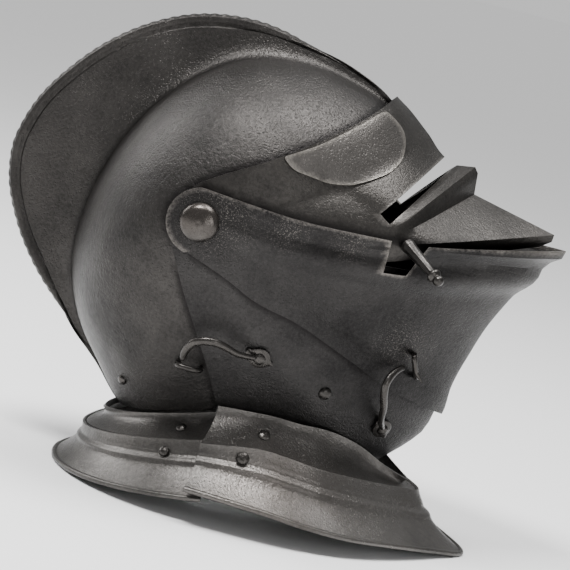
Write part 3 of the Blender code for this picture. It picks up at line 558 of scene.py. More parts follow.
def mark_near(mesh, name, lines, reach):
    """Store how near each point is to some lines of the side view."""
    marks = mesh.attributes.new(name, "FLOAT", "POINT")
    if not lines:
        return
    spots = numpy.empty(len(mesh.vertices) * 3)
    mesh.vertices.foreach_get("co", spots)
    spots = spots.reshape(-1, 3)[:, (0, 2)]
    near = numpy.min([distances(spots, line) for line in lines], axis=0)
    marks.data.foreach_set("value", numpy.clip(1.0 - near / reach, 0.0, 1.0))


# Where bright specks lie on the upper bevor. Columns: x and z of the middle, reach, all in metres.
BEVOR_SPECKS = [(0.112, -0.076, 0.020), (0.010, 0.004, 0.030), (0.050, -0.004, 0.016), (0.085, -0.012, 0.014)]


def mark_specks(mesh, specks):
    marks = mesh.attributes.new("specks", "FLOAT", "POINT")
    for index, vertex in enumerate(mesh.vertices if specks else ()):
        if vertex.co.y < 0:
            near = max(1 - math.hypot(vertex.co.x - x, vertex.co.z - z) / reach for x, z, reach in specks)
            marks.data[index].value = max(0.0, near)


def drop_work():
    for thing in list(WORK.objects):
        bpy.data.objects.remove(thing, do_unlink=True)
    bpy.data.collections.remove(WORK)


def relief(target, height):
    """Push an open half of a plate outward by a height worked out from each point's place."""
    mesh = target.data
    mesh.update()
    normals = [v.normal.copy() for v in mesh.vertices]
    for vertex, normal in zip(mesh.vertices, normals):
        rise = height(vertex.co)
        if rise:
            middle = abs(vertex.co.y) < 1e-7
            vertex.co += normal * rise
            if middle:
                vertex.co.y = 0.0
    mesh.update()


def ring_faces(rows, columns, closed=True, left_out=()):
    faces = []
    for row in range(rows if closed else rows - 1):
        after = (row + 1) % rows
        faces.append((0, 1 + row * columns, 1 + after * columns))
        for column in range(columns - 1):
            if (row, column) in left_out:
                continue
            a = 1 + row * columns + column
            b = 1 + after * columns + column
            faces.append((a, a + 1, b + 1, b))
    return faces


def spaced(start, end, count):
    return [start + (end - start) * i / (count - 1) for i in range(count)]


def fine_plate(name, sections, angles, shares, closed=False):
    points = [Vector((0, -sections(0.0)[1], 0))]
    for angle in angles:
        reach, half, keel = sections(angle)
        points += [section_point(reach, half, keel, share, angle) for share in shares]
    return mesh_object(name, points, ring_faces(len(angles), len(shares), closed))


def bump_step(x, start, end):
    part = max(0.0, min(1.0, (x - start) / (end - start)))
    return part * part * (3 - 2 * part)


PLATE_SHARES = spaced(0.03, 1.0, 56)


def round_cutter():
    """The bores at the pivots."""
    mesh = bpy.data.meshes.new("bore")
    work = bmesh.new()
    bmesh.ops.create_cone(work, cap_ends=True, segments=32, radius1=PIVOT_SHANK + PIVOT_SLACK,
                          radius2=PIVOT_SHANK + PIVOT_SLACK, depth=4 * HALF_WIDTH,
                          matrix=Matrix.Rotation(math.radians(90), 4, "X"))
    work.to_mesh(mesh)
    work.free()
    made = bpy.data.objects.new("bore", mesh)
    WORK.objects.link(made)
    return made


# Skull and comb. The comb's columns: half thickness, height above the bowl as a share of the comb
# and height added in metres where the comb is tall.
COMB_COLUMNS = [
    (0.0118, 0.0, 0.0), (0.0092, 0.018, 0.0003), (0.0072, 0.060, 0.0010), (0.0056, 0.150, 0.0018),
    (0.0046, 0.300, 0.0020), (0.0041, 0.500, 0.0010), (0.0038, 0.720, 0.0), (0.0037, 1.0, -0.0098),
    (0.0036, 1.0, -0.0078), (0.0026, 1.0, -0.0068), (0.0027, 1.0, -0.0060), (0.0036, 1.0, -0.0048),
    (0.0040, 1.0, -0.0032), (0.0036, 1.0, -0.0014), (0.0022, 1.0, -0.0003), (0.0, 1.0, 0.0),
]


def skull_row(angle, shares):
    bowl, comb = round_table(SKULL, angle)
    bowl *= REACH
    comb *= COMB_HEIGHT
    ray = math.radians(angle)
    tall = bump_step(comb, 0.004, 0.020)
    row = [section_point(bowl, HALF_WIDTH, 2.0, share, angle) for share in shares]
    for side, share, rise in COMB_COLUMNS:
        foot = bowl * math.sqrt(1 - (side / HALF_WIDTH) ** 2)
        radius = foot + (bowl - foot) * share + comb * share + rise * tall
        row.append(Vector((radius * math.cos(ray), -side, radius * math.sin(ray))))
    return row


def build_skull():
    angles = [2.0 * i for i in range(180)]
    foot = 2 / math.pi * math.acos(COMB_COLUMNS[0][0] / HALF_WIDTH)
    shares = spaced(0.03, foot - 0.012, 34)
    points = [Vector((0, -HALF_WIDTH, 0))]
    for angle in angles:
        points += skull_row(angle, shares)
    columns = len(shares) + len(COMB_COLUMNS)
    skull = mesh_object("skull_half", points, ring_faces(len(angles), columns))
    mirror_and_thicken(skull, PLATE, False)
    outline = rounded(side_points(SKULL_CUT), 3)
    boolean(skull, cutter_prism("skull_outline", outline), "INTERSECT")
    boolean(skull, round_cutter(), "DIFFERENCE")
    # The skull is painted darker along the edges of the chin plate and visor and round the lobe: painted shade under
    # the plates over it.
    return finish_piece(skull, "skull_plate", "skull", "skull", "dark",
                        gap_shade=[side_points(CHIN_CUT[:5]), side_points(VISOR_CUT[:9]),
                               with_lobe([], LOBE_RADIUS, 93, 240)])


def build_rope():
    """The roped edge of the comb: a bead twisted along the comb's edge."""
    points, faces, sides, run = [], [], 14, 0.0
    angles = spaced(40.0, 229.0, 380)
    last = None
    for angle in angles:
        bowl, comb = round_table(SKULL, angle)
        ray = math.radians(angle)
        tall = bump_step(comb * COMB_HEIGHT, 0.003, 0.016)
        edge = bowl * REACH + comb * COMB_HEIGHT - 0.0026
        spot = Vector((edge * math.cos(ray), 0, edge * math.sin(ray)))
        run += (spot - last).length if last else 0.0
        last = spot
        for k in range(sides):
            turn = 2 * math.pi * k / sides
            twist = 0.5 + 0.5 * math.cos(2 * math.pi * run / 0.0062 + turn)
            radius = (0.0029 + 0.0006 * twist ** 0.7) * (0.25 + 0.75 * tall)
            out = radius * math.cos(turn) * 0.92
            points.append(Vector((spot.x + out * math.cos(ray), radius * math.sin(turn) * 1.05,
                                  spot.z + out * math.sin(ray))))
    for row in range(len(angles) - 1):
        for k in range(sides):
            a, b = row * sides + k, row * sides + (k + 1) % sides
            faces.append((a, b, b + sides, a + sides))
    faces.append(tuple(reversed(range(sides))))
    faces.append(tuple(range((len(angles) - 1) * sides, len(angles) * sides)))
    rope = mesh_object("rope", points, faces)
    return finish_piece(rope, "comb_rope", None, "skull", "dark", angle=60.0)


def build_lower_bevor():
    angles = spaced(-108.0, 65.0, 76) + [75.0, 90.0, 108.0, 126.0, 144.0, 162.0, 180.0, 198.0, 216.0, 234.0]
    plate = fine_plate("chin_half", chin_at, angles, PLATE_SHARES, True)
    mirror_and_thicken(plate)
    outline = rounded(with_lobe(side_points(CHIN_CUT), LOBE_RADIUS, 60, 205), 2)
    boolean(plate, cutter_prism("chin_outline", outline), "INTERSECT")
    boolean(plate, round_cutter(), "DIFFERENCE")
    # Painted shade on the chin plate below the bevor's lower edge, where the bevor lies over it.
    return finish_piece(plate, "chin_plate", "lower_bevor", "lower_bevor", "bevor",
                        gap_shade=[side_points(BEVOR_CUT[:8])])


def bevor_relief(edge):
    """A turned edge, a groove and a swelling below the upper edge."""
    def height(spot):
        if spot.z > 0.03 or spot.x < 0.004:
            return 0.0
        away = distance_to_line(spot.x, spot.z, edge)
        fade = bump_step(spot.x, 0.006, 0.050)
        roll = 0.0010 * (1 - bump_step(away, 0.0035, 0.0062))
        groove = -0.0007 * math.exp(-((away - 0.0098) / 0.0030) ** 2)
        swell = 0.0034 * bump_step(away, 0.0105, 0.0180) * (1 - bump_step(away, 0.0195, 0.032))
        return fade * (roll + groove + swell)
    return height


def build_upper_bevor():
    angles = spaced(-66.0, 30.0, 84) + [42.0, 60.0, 78.0, 96.0, 114.0, 132.0, 150.0, 168.0, 186.0, 204.0, 222.0,
                                        240.0, 258.0, 276.0, 288.0]
    plate = fine_plate("bevor_half", bevor_at, angles, PLATE_SHARES, True)
    outline = rounded(with_lobe(side_points(BEVOR_CUT), LOBE_RADIUS, 93, 240), 2)
    edge = side_points([row for row in BEVOR_CUT if row[1] > -0.14 and row[0] > 0.0])
    lobe = with_lobe([], LOBE_RADIUS, 93, 240)
    relief(plate, bevor_relief(edge))
    mirror_and_thicken(plate)
    notch = side_points(NOTCH)
    boolean(plate, cutter_prism("bevor_outline", outline), "INTERSECT")
    boolean(plate, cutter_prism("peg_notch", notch, -0.16, -0.02), "DIFFERENCE")
    boolean(plate, round_cutter(), "DIFFERENCE")
    return finish_piece(plate, "bevor_plate", "upper_bevor", "upper_bevor", "bevor",
                        [edge, notch + notch[:1], lobe], specks=BEVOR_SPECKS)


# Visor rows from the sight upward. Columns: angle where the folds start, angle at the median plane.
BROW_ROWS = [(1.6, 12.9), (6.5, 16.8), (13, 21.0), (20, 25.5), (27, 29.5), (34, 34.0), (42, 42.0), (52, 52.0),
             (64, 64.0), (85, 85.0), (110, 110.0), (140, 140.0), (170, 170.0), (200, 200.0), (230, 230.0),
             (260, 260.0), (290, 290.0), (318, 318.0), (335, 335.0)]
PROW_ANGLES = [-14.5, -11.0, -8.0, -5.6, -4.2, -3.4, -2.6, -1.8]
FOLD = 0.389
PROW_BOW = 1.25
BROW_BOW = 1.7           # how round the brow is across, just above the sight
BROW_ROUND = 26.0        # degrees above the sight where the brow's rows are round again


def prow_points(angle, tip, shares):
    """A row of the prow: round like the cheek up to the folds, then straight to the median plane."""
    reach, half, keel = visor_at(angle)
    line = [section_point(reach, half, keel, share, angle) for share in shares if share <= FOLD]
    start = line[-1]
    end = Vector((tip[0], 0.0, tip[1]))
    for share in shares:
        if share <= FOLD:
            continue
        part = (share - FOLD) / (1 - FOLD)
        point = start.lerp(end, part)
        point.y = start.y * (1 - part ** PROW_BOW)
        line.append(point)
    return line


def brow_points(fold_angle, median_angle, shares, rise=0.0):
    """A row of the brow: straight in side view from the folds above the sight, round higher up."""
    reach, half, keel = visor_at(fold_angle)
    start = section_point(reach + rise, half + rise, keel, FOLD, fold_angle)
    reach = visor_at(median_angle)[0] + rise
    ray = math.radians(median_angle)
    end = Vector((reach * math.cos(ray), 0.0, reach * math.sin(ray)))
    straight = max(0.0, 1 - (fold_angle - BROW_ROWS[0][0]) / BROW_ROUND) if fold_angle < median_angle else 0.0
    line = []
    for share in shares:
        part = max(0.0, (share - FOLD) / (1 - FOLD))
        angle = fold_angle + (median_angle - fold_angle) * part
        reach, half, keel = visor_at(angle)
        point = section_point(reach + rise, half + rise, keel, share, angle)
        if part:
            flat = start.lerp(end, part)
            flat.y = start.y * (1 - part ** BROW_BOW)
            point = point.lerp(flat, straight)
        line.append(point)
    return line


FINE_SHARES = spaced(0.03, FOLD, 14) + spaced(FOLD, 1.0, 26)[1:]
FOLD_INDEX = 13


def between(rows, steps):
    """Add evenly spaced rows between the rows of a table."""
    fine = []
    for start, end in zip(rows, rows[1:]):
        for i in range(steps):
            fine.append(tuple(a + (b - a) * i / steps for a, b in zip(start, end)))
    return fine + [tuple(rows[-1])]


def build_visor():
    tips = list(reversed(side_points(PROW)))
    prow_rows = between([(angle,) + tuple(tip) for angle, tip in zip(PROW_ANGLES, tips)], 3)
    brow_rows = between(BROW_ROWS[:8], 5) + between(BROW_ROWS[8:], 2)
    points = [Vector((0, -VISOR_HALF, 0))]
    for angle, x, z in prow_rows:
        points += prow_points(angle, (x, z), FINE_SHARES)
    for fold_angle, median_angle in brow_rows:
        points += brow_points(fold_angle, median_angle, FINE_SHARES)
    rows, columns = len(prow_rows) + len(brow_rows), len(FINE_SHARES)
    open_rows = (len(prow_rows) - 1, rows - 1)
    left_out = {(row, column) for row in open_rows for column in range(FOLD_INDEX, columns)}
    visor = mesh_object("visor_half", points, ring_faces(rows, columns, True, left_out))
    mirror_and_thicken(visor, PLATE, False)
    outline = rounded(with_lobe(side_points(VISOR_CUT), LOBE_RADIUS, 250, 125), 2)
    boolean(visor, cutter_prism("visor_outline", outline), "INTERSECT")
    boolean(visor, round_cutter(), "DIFFERENCE")
    lower = brow_points(*BROW_ROWS[0], FINE_SHARES)[FOLD_INDEX:]
    upper = prow_points(PROW_ANGLES[-1], tips[-1], FINE_SHARES)[FOLD_INDEX:]
    ridges = [[(p.x, p.z) for p in line] for line in (lower, upper)]
    # Painted shade on the visor along the bevor's upper edge, where the bevor lies over it.
    return finish_piece(visor, "visor_plate", "visor", "visor", "visor",
                        ridges, 40.0, gap_shade=[side_points(BEVOR_CUT[-6:])])


def build_brow_plate():
    """The half-moon plate on the right of the brow, thin and rubbed at its edge."""
    rise = 0.0014
    rows = between(BROW_ROWS[:8], 5) + between(BROW_ROWS[8:11], 2)
    points = [Vector((0, -VISOR_HALF - rise, 0))]
    for fold_angle, median_angle in rows:
        points += brow_points(fold_angle, median_angle, FINE_SHARES, rise)
    plate = mesh_object("brow_half", points, ring_faces(len(rows), len(FINE_SHARES), False))
    thicken(plate, 0.0012, False)
    outline = rounded(side_points(BROW_CUT), 2)
    boolean(plate, cutter_prism("brow_outline", outline, -0.16, -0.002), "INTERSECT")
    # Painted light: the half-moon takes the lighter brow iron instead of the visor's.
    return finish_piece(plate, "brow_half_moon", "brow_plate", "visor", "brow",
                        [outline + outline[:1]])


# Rear neck plates: lines round the neck from the middle of the back to the side.
# Columns: centre x and reach back as shares of REACH at the top edge and of COLLAR_HALF below it, half width,
# height at the back and at the side as shares of COLLAR_DROP. Their top edges follow the skull's width.
STEP_HALF = (HALF_WIDTH + COLLAR_HALF) / 2
REAR_TOP = (0.0627 * REACH, 0.6317 * REACH, 0.6510 * HALF_WIDTH, -0.580, -0.5490)
REAR_STEP = (0.045 * COLLAR_HALF, 0.768 * COLLAR_HALF, 0.7808 * STEP_HALF, -0.618, -0.612)
REAR_RIM = (0.0, 0.902 * COLLAR_HALF, 0.955 * COLLAR_HALF, -0.7045, -0.757)

# Front neck plates, from the side to the middle of the front. Columns: top x, y, z, step x, y, z, rim x, y, z;
# x as shares of COLLAR_FRONT, y of HALF_WIDTH at the top, STEP_HALF and COLLAR_HALF, z of COLLAR_DROP.
FRONT = [
    (0.045, 0.7525, -0.524, -0.005, 0.8885, -0.611, -0.060, 1.010, -0.722),
    (0.247, 0.6767, -0.556, 0.205, 0.8508, -0.628, 0.240, 1.000, -0.785),
    (0.363, 0.6300, -0.582, 0.320, 0.8023, -0.656, 0.411, 0.940, -0.832),
    (0.483, 0.5215, -0.611, 0.452, 0.7108, -0.697, 0.575, 0.821, -0.875),
    (0.589, 0.3407, -0.663, 0.589, 0.5169, -0.740, 0.740, 0.589, -0.918),
    (0.690, 0.1750, -0.735, 0.712, 0.2477, -0.784, 0.890, 0.295, -0.964),
    (0.775, 0.0000, -0.788, 0.805, 0.0000, -0.815, 1.000, 0.000, -1.000),
]
FLARE_SAG = 0.005        # how far the neck plates hollow between their edges


def rear_line(row, count=11, reach=90.0):
    centre, back, half, high, low = row
    line = []
    for i in range(count):
        turn = math.radians(reach * i / (count - 1))
        drop = high + (low - high) * (1 - math.cos(turn)) ** 0.7
        line.append(Vector((centre - back * math.cos(turn), -half * math.sin(turn), COLLAR_DROP * drop)))
    return line


def front_line(first, count=13):
    """A smooth line through one group of three columns of the front table."""
    half = {0: HALF_WIDTH, 3: STEP_HALF, 6: COLLAR_HALF}[first]
    rows = [Vector((r[first] * COLLAR_FRONT, -r[first + 1] * half, r[first + 2] * COLLAR_DROP))
            for r in FRONT]
    line = []
    for i in range(count):
        along = i * (len(rows) - 1) / (count - 1)
        at = min(int(along), len(rows) - 2)
        before = rows[max(at - 1, 0)]
        after = rows[at + 2] if at + 2 < len(rows) else Vector((rows[-2].x, -rows[-2].y, rows[-2].z))
        part = along - at
        line.append(Vector([smooth_step(before[k], rows[at][k], rows[at + 1][k], after[k], 1, 1, 1, part)
                            for k in range(3)]))
    line[-1].y = 0.0
    return line


def outward(point):
    away = Vector((point.x - 0.15 * COLLAR_FRONT, point.y, 0.0))
    return away.normalized()


def flare(upper, lower, share, lift=0.0):
    """A line between two lines of the neck, hollowed by the sag and lifted outward."""
    line = []
    for start, end in zip(upper, lower):
        point = start.lerp(end, share)
        away = outward(point)
        point -= away * FLARE_SAG * 4 * share * (1 - share)
        point += away * lift
        if abs(start.y) < 1e-9:
            point.y = 0.0
        line.append(point)
    return line


OVERLAP_LIFT = PLATE + 2 * SKIN_GAP
RIM_BEAD = 0.0017        # radius of the turned edge of the lower neck plates
LIFTS = [(0.0, 1.0), (0.3, 0.8), (0.65, 0.3), (1.0, 0.0)]


def lift_at(share):
    for (start, before), (end, after) in zip(LIFTS, LIFTS[1:]):
        if share <= end:
            return OVERLAP_LIFT * (before + (after - before) * (share - start) / (end - start))
    return 0.0


def grid(name, lines):
    count = len(lines[0])
    points = [point for line in lines for point in line]
    faces = []
    for row in range(len(lines) - 1):
        for i in range(count - 1):
            a = row * count + i
            faces.append((a, a + count, a + count + 1, a + 1))
    return mesh_object(name, points, faces)


def add_bead(mesh, line, radius, sides=10):
    """Join a closed bead along a line to a mesh, on both sides of the median plane."""
    work = bmesh.new()
    work.from_mesh(mesh)
    for side in (1, -1):
        rings = []
        for index, point in enumerate(line):
            ahead = line[min(index + 1, len(line) - 1)] - line[max(index - 1, 0)]
            ahead.normalize()
            across = ahead.cross(Vector((0, 0, 1))).normalized()
            over = across.cross(ahead)
            ring = []
            for k in range(sides):
                turn = 2 * math.pi * k / sides
                spot = point + radius * (math.cos(turn) * across + math.sin(turn) * over)
                ring.append(work.verts.new((spot.x, side * spot.y, spot.z)))
            rings.append(ring)
        for low, high in zip(rings, rings[1:]):
            for k in range(sides):
                m = (k + 1) % sides
                work.faces.new((low[k], low[m], high[m], high[k]))
        work.faces.new(rings[0])
        work.faces.new(rings[-1])
    bmesh.ops.recalc_face_normals(work, faces=work.faces)
    work.to_mesh(mesh)
    work.free()


def lame_ridge(share):
    """The groove and the low swelling along a lower neck plate."""
    return -0.0007 * math.exp(-((share - 0.30) / 0.045) ** 2) + 0.0011 * math.exp(-((share - 0.40) / 0.060) ** 2)


def build_lames():
    tops = {"rear": [rear_line(row, 64) for row in (REAR_TOP, REAR_STEP, REAR_RIM)],
            "front": [front_line(first, 90) for first in (0, 3, 6)]}
    for side, (top, step, rim) in tops.items():
        body = "skull" if side == "rear" else "lower_bevor"
        upper = [flare(top, step, share) for share in spaced(0.0, 1.0, 9)]
        upper.append(flare(step, rim, 0.14, -0.0008))
        plate = grid(side + "_upper_half", upper)
        mirror_and_thicken(plate)
        finish_piece(plate, side + "_upper_neck_plate", side + "_upper_lame", body, "collar")
        lower = [flare(step, rim, share, lift_at(share) + lame_ridge(share)) for share in spaced(0.0, 1.0, 30)]
        plate = grid(side + "_lower_half", lower)
        mirror_and_thicken(plate)
        piece = finish_piece(plate, side + "_lower_neck_plate", side + "_lower_lame", body,
                             "collar")
        bead = [TO_WORLD @ (point - outward(point) * 0.0006) for point in lower[-1]]
        add_bead(piece.data, bead, RIM_BEAD)
        sharp_edges(piece.data, 40.0)


def over_plates(x, z, lift):
    side = max(plate_side(chin_at, x, z), plate_side(bevor_at, x, z))
    return Vector((x, -side - lift, z))


# Hooks. Columns: x as a share of PROW_REACH, z as a share of COLLAR_DROP, lift off the plates in metres,
# thickness as a share of HOOK_WIRE.
SIDE_HOOK = [
    (0.154, -0.378, 0.0030, 1.0), (0.100, -0.362, 0.0048, 1.0), (0.068, -0.340, 0.0078, 1.15),
    (0.040, -0.326, 0.0098, 1.25), (0.012, -0.322, 0.0102, 1.3), (-0.018, -0.328, 0.0098, 1.25),
    (-0.038, -0.346, 0.0088, 1.15), (-0.048, -0.363, 0.0080, 1.0), (-0.051, -0.374, 0.0076, 0.85),
]
FRONT_HOOK = [
    (0.479, -0.610, 0.0030, 1.0), (0.486, -0.574, 0.0064, 1.0), (0.494, -0.538, 0.0094, 1.15),
    (0.496, -0.500, 0.0114, 1.25), (0.502, -0.466, 0.0120, 1.25), (0.519, -0.440, 0.0106, 1.2),
    (0.538, -0.428, 0.0086, 1.0), (0.547, -0.427, 0.0076, 0.85),
]


def smooth_path(points, steps=8):
    """A smooth line through points, each with further values such as a radius."""
    out = []
    for i in range(len(points) - 1):
        picked = [points[max(i - 1, 0)], points[i], points[i + 1], points[min(i + 2, len(points) - 1)]]
        for k in range(steps):
            part = k / steps
            out.append(tuple(smooth_turn(*[row[c] for row in picked], part) for c in range(len(points[0]))))
    out.append(tuple(points[-1]))
    return out


def smooth_turn(a, b, c, d, t):
    return 0.5 * (2 * b + (c - a) * t + (2 * a - 5 * b + 4 * c - d) * t * t + (3 * b - a - 3 * c + d) * t ** 3)


def tube(name, path, sides=16, flat=1.0):
    """A bent bar through points with a radius each, closed flat at both ends."""
    points, faces = [], []
    spots = [Vector(row[:3]) for row in path]
    side = None
    for index, row in enumerate(path):
        ahead = (spots[min(index + 1, len(spots) - 1)] - spots[max(index - 1, 0)]).normalized()
        side = (side - ahead * side.dot(ahead)).normalized() if side else ahead.orthogonal().normalized()
        over = ahead.cross(side)
        for k in range(sides):
            turn = 2 * math.pi * k / sides
            points.append(spots[index] + row[3] * (math.cos(turn) * side + flat * math.sin(turn) * over))
    for row in range(len(path) - 1):
        for k in range(sides):
            a, b = row * sides + k, row * sides + (k + 1) % sides
            faces.append((a, b, b + sides, a + sides))
    faces.append(tuple(reversed(range(sides))))
    faces.append(tuple(range((len(path) - 1) * sides, len(path) * sides)))
    return mesh_object(name, points, faces)


def with_round_ends(path):
    """Close a bar with small domes by letting its radius fall off at both ends."""
    out = list(path)
    for end, inner in ((0, 1), (-1, -2)):
        tip, ahead, radius = Vector(path[end][:3]), Vector(path[inner][:3]), path[end][3]
        away = (tip - ahead).normalized()
        cap = [tuple(tip + away * radius * math.sin(a)) + (radius * math.cos(a) + 1e-5,)
               for a in (math.radians(d) for d in (30, 55, 75, 89))]
        out = list(reversed(cap)) + out if end == 0 else out + cap
    return out


def join_meshes(target, others):
    work = bmesh.new()
    for thing in [target] + others:
        mesh = thing.data.copy()
        mesh.transform(thing.matrix_world)
        work.from_mesh(mesh)
        bpy.data.meshes.remove(mesh)
    target.matrix_world = Matrix.Identity(4)
    work.to_mesh(target.data)
    work.free()


# Leaf-shaped end of a hook round its rivet. Columns: along and across as shares of LEAF.
LEAF = 0.0066
LEAF_OUTLINE = [
    (1.45, 0.0), (1.05, 0.22), (0.80, 0.55), (0.45, 0.85), (0.0, 0.95), (-0.5, 0.80), (-0.95, 0.42), (-1.3, 0.30),
    (-1.3, -0.30), (-0.95, -0.42), (-0.5, -0.80), (0.0, -0.95), (0.45, -0.85), (0.80, -0.55), (1.05, -0.22),
]


def leaf(point, normal, away, thick=0.0022):
    """A small leaf-shaped plate standing on a plate, pointing away from the bar."""
    across = normal.cross(away).normalized()
    away = across.cross(normal).normalized()
    outline = rounded([(a * LEAF, b * LEAF) for a, b in LEAF_OUTLINE], 1)
    layers = [(0.0, 0.97), (0.75, 1.0), (1.0, 0.82)]
    points, faces = [], []
    for height, size in layers:
        points += [point + normal * thick * height + size * (a * away + b * across) for a, b in outline]
    count = len(outline)
    for row in range(len(layers) - 1):
        for k in range(count):
            a, b = row * count + k, row * count + (k + 1) % count
            faces.append((a, b, b + count, a + count))
    faces.append(tuple(reversed(range(count))))
    faces.append(tuple(range((len(layers) - 1) * count, len(layers) * count)))
    return mesh_object("leaf", points, faces)


def build_hook(name, table):
    rows = [(row[0] * PROW_REACH, row[1] * COLLAR_DROP, row[2], row[3]) for row in table]
    point, normal = plate_point(chin_at, rows[0][0], rows[0][1])
    line = [tuple(over_plates(x, z, lift)) + (HOOK_WIRE * thick,) for x, z, lift, thick in rows]
    start = Vector(line[1][:3])
    near = point + normal * 0.0024 + (start - point).normalized() * 0.0052
    line[0] = tuple(near) + (HOOK_WIRE * 0.9,)
    hook = tube(name + "_bar", with_round_ends(smooth_path(line)), flat=0.86)
    join_meshes(hook, [leaf(point + normal * 0.0006, normal, point - start)])
    piece = finish_piece(hook, name + "_forged", name, name, "bright", angle=50.0)
    return piece


def build_staple(name, skin, start, end, lift, stand, body, spur=None):
    """An eye: a bar that leaves the plate, runs across and comes back."""
    line = []
    for share, rise in ((0.0, 0.0), (0.0, 0.55), (0.12, 0.9), (0.3, 1.0), (0.7, 1.0), (0.88, 0.9), (1.0, 0.55),
                        (1.0, 0.0)):
        x = start[0] + (end[0] - start[0]) * share
        z = start[1] + (end[1] - start[1]) * share
        side = plate_side(skin, x, z) + SKIN_GAP + stand + lift * rise - 0.0003
        line.append((x, -side, z, 0.00165))
    staple = tube(name + "_wire", with_round_ends(smooth_path(line, 5)))
    if spur:
        base, tip = Vector(line[4][:3]), Vector(line[4][:3]) + Vector(spur)
        path = [tuple(base.lerp(tip, part)) + (0.0015 * (1 - 0.85 * part),) for part in (0.0, 0.3, 0.6, 1.0)]
        join_meshes(staple, [tube("spur", path)])
    return finish_piece(staple, name + "_forged", name, body, "bright", angle=50.0)


def turned(name, profile, point, normal, sides=48, flutes=None):
    """A turned piece: a profile of radius and height stood on a point."""
    points, faces = [], []
    turn = normal.to_track_quat("Z", "Y").to_matrix()
    for radius, height in profile:
        for k in range(sides):
            angle = 2 * math.pi * k / sides
            depth = flutes(angle, height) if flutes else 1.0
            points.append(point + turn @ Vector((radius * depth * math.cos(angle),
                                                 radius * depth * math.sin(angle), height)))
    for row in range(len(profile) - 1):
        for k in range(sides):
            a, b = row * sides + k, row * sides + (k + 1) % sides
            faces.append((a, b, b + sides, a + sides))
    faces.append(tuple(reversed(range(sides))))
    faces.append(tuple(range((len(profile) - 1) * sides, len(profile) * sides)))
    return mesh_object(name, points, faces)


def build_pivots():
    """Domed pivot heads with worn rings, on their shanks."""
    head, inside = BEVOR_HALF + SKIN_GAP, HALF_WIDTH - PLATE - WASHER_GAP
    length, height = head - inside, 0.0062
    profile = [(0.0001, -length - 0.002), (2 * PIVOT_SHANK, -length - 0.002), (2 * PIVOT_SHANK, -length),
               (PIVOT_SHANK, -length), (PIVOT_SHANK, 0.0), (PIVOT_RADIUS * 0.985, 0.0), (PIVOT_RADIUS, 0.0005)]
    for i in range(1, 30):
        turn = math.pi / 2 * i / 30
        ring = 0.00012 * math.cos(9 * turn)
        profile.append((PIVOT_RADIUS * math.cos(turn) ** 0.9, (height + ring) * math.sin(turn) + 0.0003))
    profile.append((0.0001, height + 0.0003))
    for side, word in ((-1, "right"), (1, "left")):
        rivet = turned("pivot_" + word, profile, Vector((0, side * head, 0)), Vector((0, side, 0)))
        finish_piece(rivet, "pivot_dome_" + word, "pivot_rivet_" + word, "skull", "bright",
                     angle=40.0)


def build_rivets():
    """Domed heads of the chin and nape rivets, larger than their solids' shanks."""
    for word, x, z, plate, radius in (("chin", 0.330, -0.493, chin_at, 0.0040),
                                      ("nape", -0.255, -0.470, skull_at, 0.0031)):
        point, normal = plate_point(plate, x * PROW_REACH, z * COLLAR_DROP)
        profile = [(radius, -0.0003)]
        for i in range(13):
            turn = math.pi / 2 * i / 12
            profile.append((max(radius * math.cos(turn), 0.0001), 0.0002 + 0.62 * radius * math.sin(turn)))
        for side, name in ((1, "right"), (-1, "left")):
            spot = Vector((point.x, side * point.y, point.z))
            away = Vector((normal.x, side * normal.y, normal.z))
            head = turned(word + "_head_" + name, profile, spot, away, 32)
            finish_piece(head, word + "_rivet_head_" + name, word + "_rivet_" + name,
                         "lower_bevor" if word == "chin" else "skull", "bright", angle=50.0)


# Lifting peg. Columns: distance from the root as a share of PEG_LENGTH, radius as a share of PEG_RADIUS.
PEG = [
    (0.0, 1.0, 0.0), (0.06, 1.0, 0.0), (0.12, 0.92, 0.3), (0.30, 0.86, 1.0), (0.55, 0.72, 1.0), (0.70, 0.60, 0.3),
    (0.74, 0.64, 0.0), (0.77, 1.0, 0.0), (0.82, 0.95, 0.0), (0.86, 0.60, 0.0), (0.90, 0.76, 0.0),
    (0.95, 0.72, 0.0), (0.985, 0.45, 0.0), (1.0, 0.05, 0.0),
]


def build_peg():
    root = PEG_ROOT
    lean = Vector((0.56, -0.62, -0.55)).normalized()
    rows = smooth_path(PEG, 4)

    def flutes(angle, height):
        share = height / PEG_LENGTH
        depth = next((row[2] for row in rows if row[0] >= share), 0.0)
        return 1.0 - 0.13 * max(0.0, min(depth, 1.0)) * (0.5 - 0.5 * math.cos(8 * angle))

    profile = [(max(row[1], 0.02) * PEG_RADIUS, row[0] * PEG_LENGTH) for row in rows]
    peg = turned("peg", profile, root, lean, 48, flutes)
    return finish_piece(peg, "lifting_peg_turned", "lifting_peg", "visor", "bright", angle=45.0)


def peg_root():
    """Where the peg stands on the prow, as in the frame."""
    shares = [0.14, 0.28, FOLD, 0.49]
    row = prow_points(PROW_ANGLES[2], tuple(reversed(side_points(PROW)))[2], shares)
    return row[2].lerp(row[3], 0.55) + Vector((0.0, -0.0024, 0.0))


PEG_ROOT = peg_root()


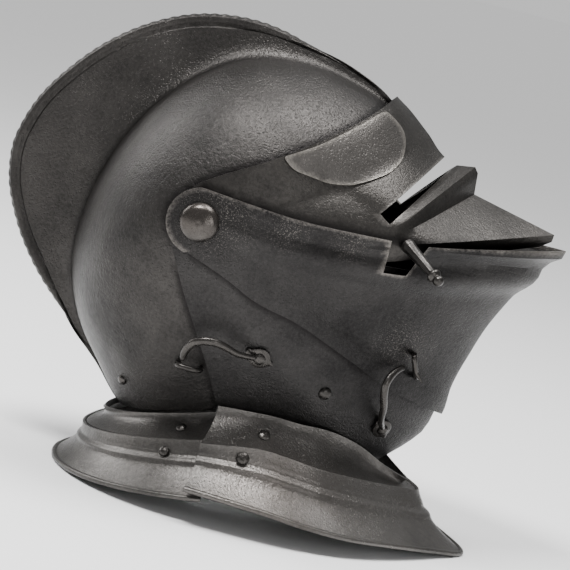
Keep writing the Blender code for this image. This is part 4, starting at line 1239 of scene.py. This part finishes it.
MATERIALS = {
    "dark": iron("dark_iron", (0.012, 0.0112, 0.0106), (0.056, 0.052, 0.049), (0.26, 0.245, 0.23), 0.37, 1.3, 0.3),
    "bevor": iron("bevor_iron", (0.0085, 0.0080, 0.0080), (0.038, 0.036, 0.035), (0.36, 0.33, 0.30), 0.35, 1.0, 0.4),
    "visor": iron("visor_iron", (0.016, 0.0148, 0.0138), (0.070, 0.065, 0.060), (0.30, 0.28, 0.26), 0.36, 0.8, 0.25),
    # A lighter copy of the visor's iron for the half-moon: painted light where the raised brow catches the lamps.
    "brow": iron("lit_brow_iron", (0.034, 0.0315, 0.0295), (0.115, 0.107, 0.100), (0.40, 0.37, 0.33), 0.44, 0.8, 0.2),
    "collar": iron("collar_iron", (0.034, 0.032, 0.030), (0.140, 0.132, 0.124), (0.34, 0.32, 0.30), 0.34, 0.8, 0.25),
    "bright": iron("worn_iron", (0.016, 0.015, 0.014), (0.078, 0.072, 0.067), (0.34, 0.32, 0.30), 0.29, 0.22, 0.15,
                   2.2),
}
CHOICE = {"skull": "dark", "lower_bevor": "bevor", "upper_bevor": "bevor", "visor": "visor",
          "brow_plate": "visor"}


def dress(name):
    if name in CHOICE:
        return MATERIALS[CHOICE[name]]
    if name.endswith("lame"):
        return MATERIALS["collar"]
    return MATERIALS["bright"]


place_camera()
studio()
for name, node in frame["nodes"].items():
    thing = bpy.data.objects.get(name) or node
    for slot in thing.material_slots:
        slot.material = dress(name)

build_skull()
build_rope()
build_lower_bevor()
build_upper_bevor()
build_visor()
build_brow_plate()
build_lames()
build_pivots()
build_peg()
build_rivets()
build_hook("side_hook", SIDE_HOOK)
build_hook("front_hook", FRONT_HOOK)
build_staple("side_staple", skull_at, (-0.078 * PROW_REACH, -0.400 * COLLAR_DROP),
             (-0.014 * PROW_REACH, -0.418 * COLLAR_DROP), 0.0085, 0.0003, "skull")
build_staple("front_staple", bevor_at, (0.578 * PROW_REACH, -0.395 * COLLAR_DROP),
             (0.584 * PROW_REACH, -0.462 * COLLAR_DROP), 0.0085, 0.0013, "upper_bevor", (0.004, -0.001, -0.0065))
drop_work()
